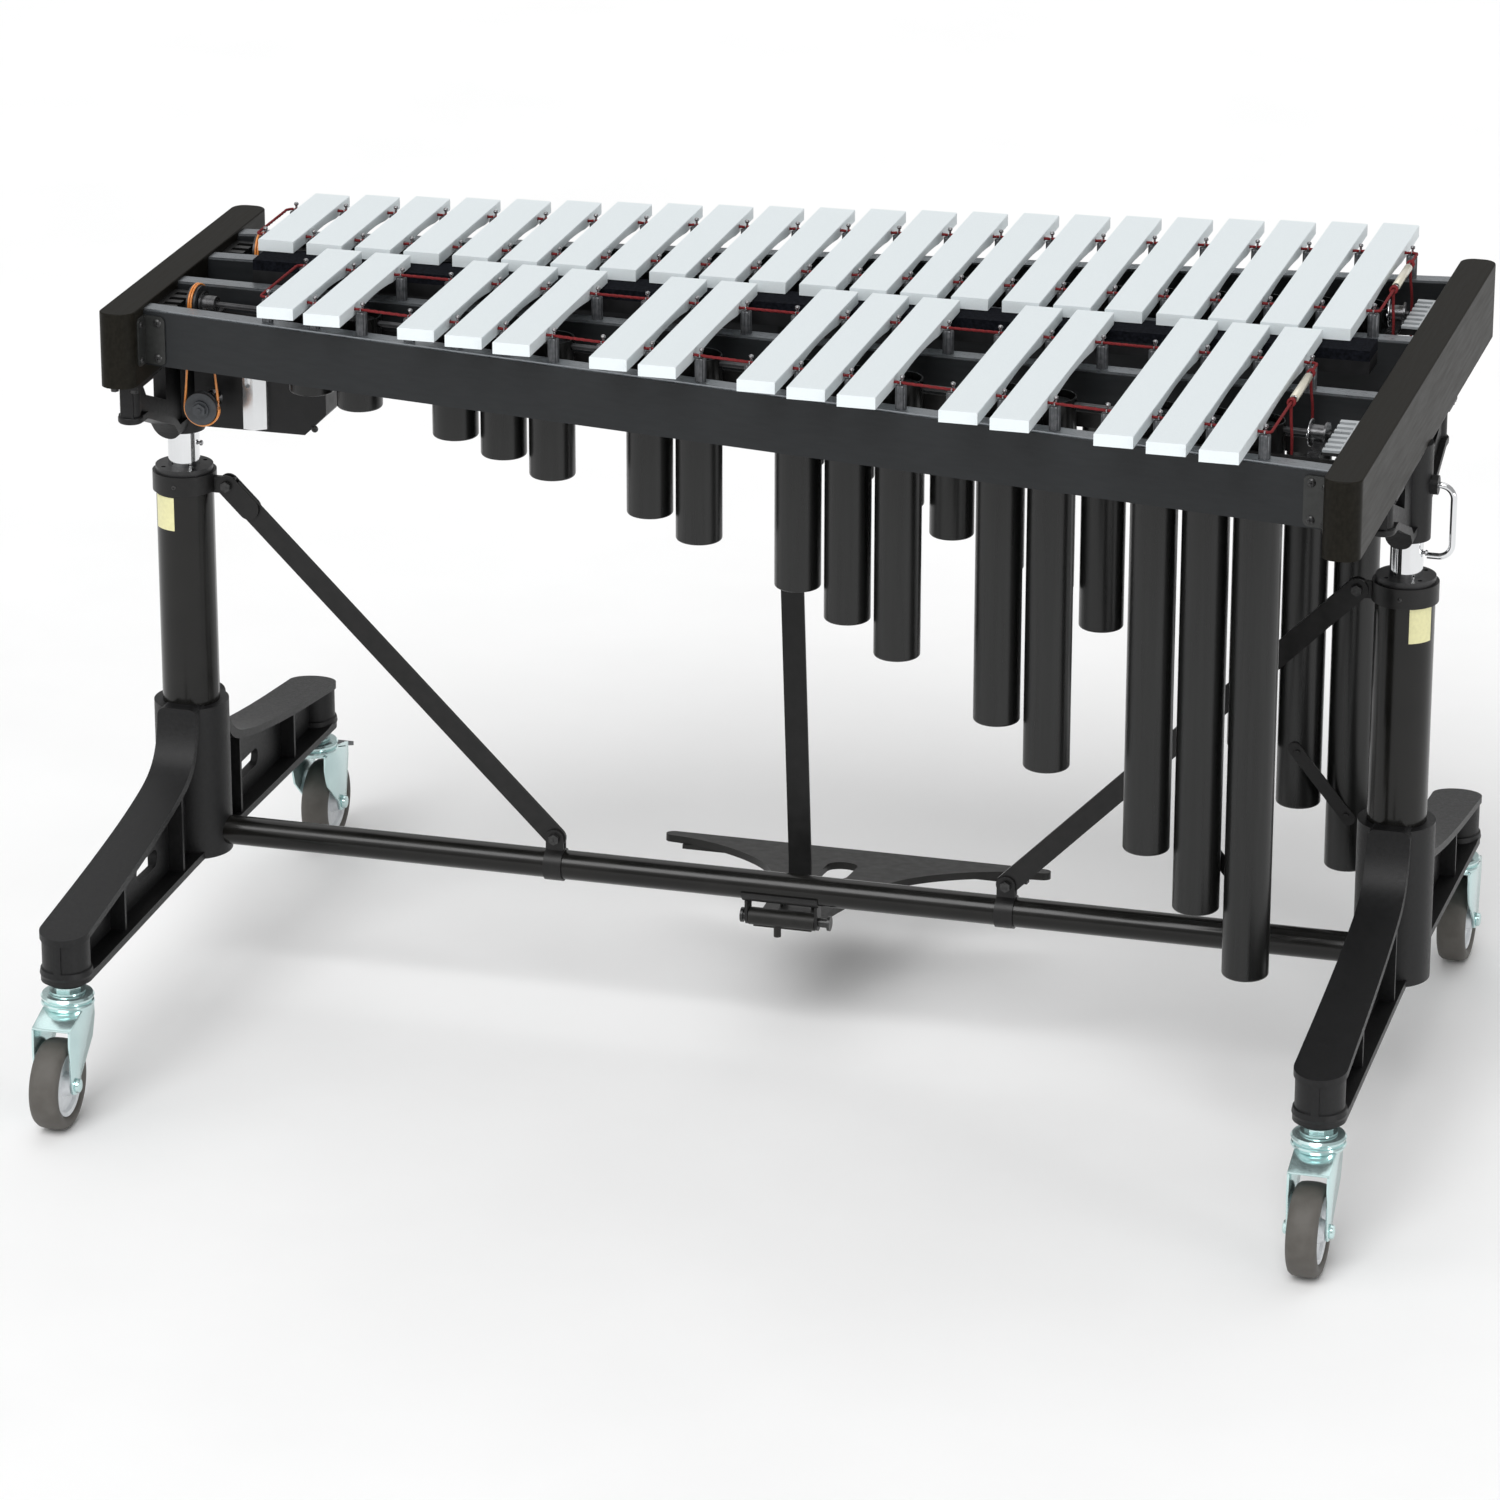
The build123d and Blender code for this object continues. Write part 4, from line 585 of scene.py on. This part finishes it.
# ---- bright-edged plates on the inner side of the low-end shaft bearings ----------------------------
LOW_BEARING_X, PLATE_OFFSET, PLATE_BOLT_REACH, PLATE_BOLT_OFFSET = 606.0, 7.1, 9.5, 1.5
PLATE_PROFILE = [(0, 3.6), (0, 13.6), (0.5, 14.0), (1.1, 14.0), (1.6, 13.4), (1.6, 3.6)]
PLATE_BOLT = [(0, 2.2), (1.3, 2.2), (1.7, 1.4)]

plates = Shape()
for row in SPRING_Y:
    inward = row_direction(row)
    place = Vector((LOW_BEARING_X, centre_y(row, LOW_BEARING_X), FAN_SHAFT_Z)) + inward * PLATE_OFFSET
    plates.ring(place, inward, PLATE_PROFILE, sides=40)
    across = Vector((inward.y, -inward.x, 0))
    for hand in (-1, 1):
        bolt = place + across * (hand * PLATE_BOLT_REACH) + inward * PLATE_BOLT_OFFSET
        plates.turned(bolt, inward, PLATE_BOLT, sides=12)
plates.piece("bearing_plates", "pin_steel", "upper_frame", slot="fan_steel")

# ---- column fittings: screws on the lift tubes, and blank labels ------------------------------------
ROD_SCREW = [(0, 1.7), (2.4, 1.7), (2.5, 3.0), (4.4, 2.8), (5.0, 1.6)]
ROD_SCREW_REACH, ROD_SCREW_Z = 16.7, 616.6
# Column, middle angle round it, lower edge and upper edge.
LABELS = ((-COLUMN_X, -118.0, 525.0, 562.0), (COLUMN_X, -46.0, 527.0, 567.0))
LABEL_ANGLE, LABEL_STEPS, LABEL_INNER_R, LABEL_OUTER_R = 50.0, 16, 31.05, 31.3

rod_screws = Shape()
for x in (-COLUMN_X, COLUMN_X):
    rod_screws.turned((x + ROD_SCREW_REACH, 0, ROD_SCREW_Z), ALONG_X, ROD_SCREW, sides=16)
rod_screws.piece("rod_screws", "pin_steel", "upper_frame", slot="chrome")

labels = Shape()
for x, middle, low, high in LABELS:
    inner, outer = [], []
    for index in range(LABEL_STEPS + 1):
        angle = math.radians(middle - LABEL_ANGLE / 2 + LABEL_ANGLE * index / LABEL_STEPS)
        for edge, radius in ((inner, LABEL_INNER_R), (outer, LABEL_OUTER_R)):
            edge.append((x + radius * math.cos(angle), radius * math.sin(angle)))
    labels.slab(outer + inner[::-1], low, high, upright=False)
labels.piece("column_labels", "label_cream", "base", slot="black_steel")

# ---- casters ----------------------------------------------------------------------------------------
# Profiles are (distance along the axis, radius); the race's distance is its height above the floor.
TYRE = [(-9, 33.5), (-13.5, 34.5), (-15.4, 37.5), (-15.9, 41), (-14.6, 44.6), (-11.5, 46.8), (-6, 47.8),
        (0, 48.0), (6, 47.8), (11.5, 46.8), (14.6, 44.6), (15.9, 41), (15.4, 37.5), (13.5, 34.5), (9, 33.5)]
HUB = [(-13.0, 5.1), (-17.6, 5.1), (-17.6, 10.5), (-12.4, 12.0), (-9.0, 14.0), (-9.0, 27.5), (-12.2, 29.2),
       (-13.2, 33.6), (13.2, 33.6), (12.2, 29.2), (9.0, 27.5), (9.0, 14.0), (12.4, 12.0), (17.6, 10.5),
       (17.6, 5.1), (13.0, 5.1)]
RACE = [(121.4, 8.1), (121.4, 23.0), (123.0, 26.5), (126.5, 28.0), (128.5, 27.2), (129.2, 24.5),
        (130.6, 24.5), (131.4, 27.0), (134.0, 28.0), (136.4, 26.4), (137.4, 21.0), (137.4, 8.1)]
AXLE_NUT = [(0, 7.2), (1.0, 7.6), (3.6, 7.0), (4.6, 5.2), (4.8, 0.5)]
AXLE_START, AXLE = -18.8, [(0, 4.9), (37.6, 4.9)]
BRAKE_PIN_START, BRAKE_PIN_REACH, BRAKE_PIN_Z, BRAKE_PIN = -21, 14, 107, [(0, 2.9), (42, 2.9)]
CHEEK_INNER, CHEEK_OUTER = 18.7, 21.3
FORK_TOP, SADDLE_UNDERSIDE = 124, 121.5
FORK_EDGE, FORK_EDGE_SHARP = 0.7, 60
# The cheek's outer edge, as (past the axle, height); it reaches further on the back casters, with the brakes.
FORK_REAR = {1: ((22, 115), (22, 99)), -1: ((14, 112), (15, 92))}

for end, x in (("left", -COLUMN_X), ("right", COLUMN_X)):
    for place, hand in (("front", -1), ("back", 1)):
        name = f"{place}_{end}"
        y, axle = hand * CASTER_Y, hand * AXLE_Y
        tyre, hub, fork = Shape(), Shape(), Shape()
        tyre.ring((x, axle, WHEEL_R), ALONG_X, TYRE, sides=64)
        tyre.piece(f"{name}_tyre", "wheel", f"{name}_wheel", smooth=50, replaces=(f"{name}_wheel",))
        hub.ring((x, axle, WHEEL_R), ALONG_X, HUB, sides=48)
        hub.piece(f"{name}_hub", "hub_grey", f"{name}_wheel", smooth=30, slot="wheel")

        fork.ring((x, y, 0), UP, RACE, sides=48)
        cheek = [(y - hand * 20, FORK_TOP), (y + hand * 18, FORK_TOP)]
        cheek += [(axle + hand * reach, z) for reach, z in FORK_REAR[hand]]
        cheek += [(axle + hand * 12, 50), (axle + hand * 9, 41), (axle, 37.5), (axle - hand * 9, 41),
                  (axle - hand * 13, 52), (y - hand * 13, 84), (y - hand * 21, 106)]
        for side in (-1, 1):
            fork.slab(cheek, x + side * CHEEK_INNER, x + side * CHEEK_OUTER)
        saddle = [(y - hand * 20, SADDLE_UNDERSIDE), (y - hand * 20, FORK_TOP), (y + hand * 18, FORK_TOP),
                  (axle + hand * 13, 113.5), (axle + hand * 13, 111), (y + hand * 17, SADDLE_UNDERSIDE)]
        fork.slab(saddle, x - CHEEK_OUTER, x + CHEEK_OUTER)
        fork.bevel(FORK_EDGE, 2, FORK_EDGE_SHARP)
        for side in (-1, 1):
            fork.turned((x + side * CHEEK_OUTER, axle, WHEEL_R), (side, 0, 0), AXLE_NUT, sides=24)
        fork.turned((x + AXLE_START, axle, WHEEL_R), ALONG_X, AXLE, sides=24)
        if hand > 0:
            fork.turned((x + BRAKE_PIN_START, axle + BRAKE_PIN_REACH, BRAKE_PIN_Z), ALONG_X, BRAKE_PIN,
                        sides=16)
        fork.piece(f"{name}_zinc_fork", "zinc", f"{name}_caster", smooth=32,
                   replaces=(f"{name}_caster_fork",))

# ---- stage, light and camera ------------------------------------------------------------------------
FLOOR_REACH = 250.0
floor_mesh = bpy.data.meshes.new("floor")
floor_corners = [(a * FLOOR_REACH, b * FLOOR_REACH, 0) for a, b in ((-1, -1), (1, -1), (1, 1), (-1, 1))]
floor_mesh.from_pydata(floor_corners, [], [(0, 1, 2, 3)])
floor = bpy.data.objects.new("floor", floor_mesh)
bpy.context.scene.collection.objects.link(floor)
floor.data.materials.append(surface("floor_paper", (0.90, 0.90, 0.90), (0.92, 0.92, 0.92), (0.8, 0.9),
                                    grain=3, bump=0.01, relief=40))

WORLD_STRENGTH = 0.42
world = bpy.data.worlds.new("studio")
bpy.context.scene.world = world
world.use_nodes = True
world.node_tree.nodes["Background"].inputs["Color"].default_value = (1, 1, 1, 1)
world.node_tree.nodes["Background"].inputs["Strength"].default_value = WORLD_STRENGTH
bpy.context.scene.view_settings.view_transform = "Standard"


def soft_sun(name, azimuth, elevation, strength, softness):
    """Wide sun that stands in for a large softbox: azimuth 0 shines from -Y, 90 from +X."""
    data = bpy.data.lights.new(name, "SUN")
    data.energy = strength
    data.angle = math.radians(softness)
    lamp = bpy.data.objects.new(name, data)
    a, e = math.radians(azimuth), math.radians(elevation)
    back = Vector((math.sin(a) * math.cos(e), -math.cos(a) * math.cos(e), math.sin(e)))
    lamp.rotation_euler = back.to_track_quat("Z", "Y").to_euler()
    bpy.context.scene.collection.objects.link(lamp)


soft_sun("key", azimuth=-4, elevation=48, strength=1.85, softness=36)
soft_sun("fill", azimuth=-50, elevation=30, strength=0.45, softness=60)
soft_sun("back", azimuth=190, elevation=62, strength=0.6, softness=60)
soft_sun("strip", azimuth=62, elevation=7, strength=0.7, softness=14)

# Solved from the photograph's viewing angle: place in metres, angles in degrees, lens in millimetres.
CAMERA_PLACE = (1.7182, -6.2534, 2.7830)
CAMERA_YAW, CAMERA_PITCH, CAMERA_ROLL = 15.641, -20.703, 0.065
SENSOR_WIDTH, FOCAL_LENGTH, CLIP_END = 36.0, 157.3, 100.0
camera_data = bpy.data.cameras.new("camera")
camera_data.sensor_width = SENSOR_WIDTH
camera_data.lens = FOCAL_LENGTH
camera_data.clip_end = CLIP_END
camera = bpy.data.objects.new("camera", camera_data)
camera.location = CAMERA_PLACE
turn = Matrix.Rotation(math.radians(CAMERA_YAW), 4, "Z")
turn = turn @ Matrix.Rotation(math.radians(90 + CAMERA_PITCH), 4, "X")
turn = turn @ Matrix.Rotation(math.radians(CAMERA_ROLL), 4, "Z")
camera.rotation_euler = turn.to_euler()
bpy.context.scene.collection.objects.link(camera)
bpy.context.scene.camera = camera
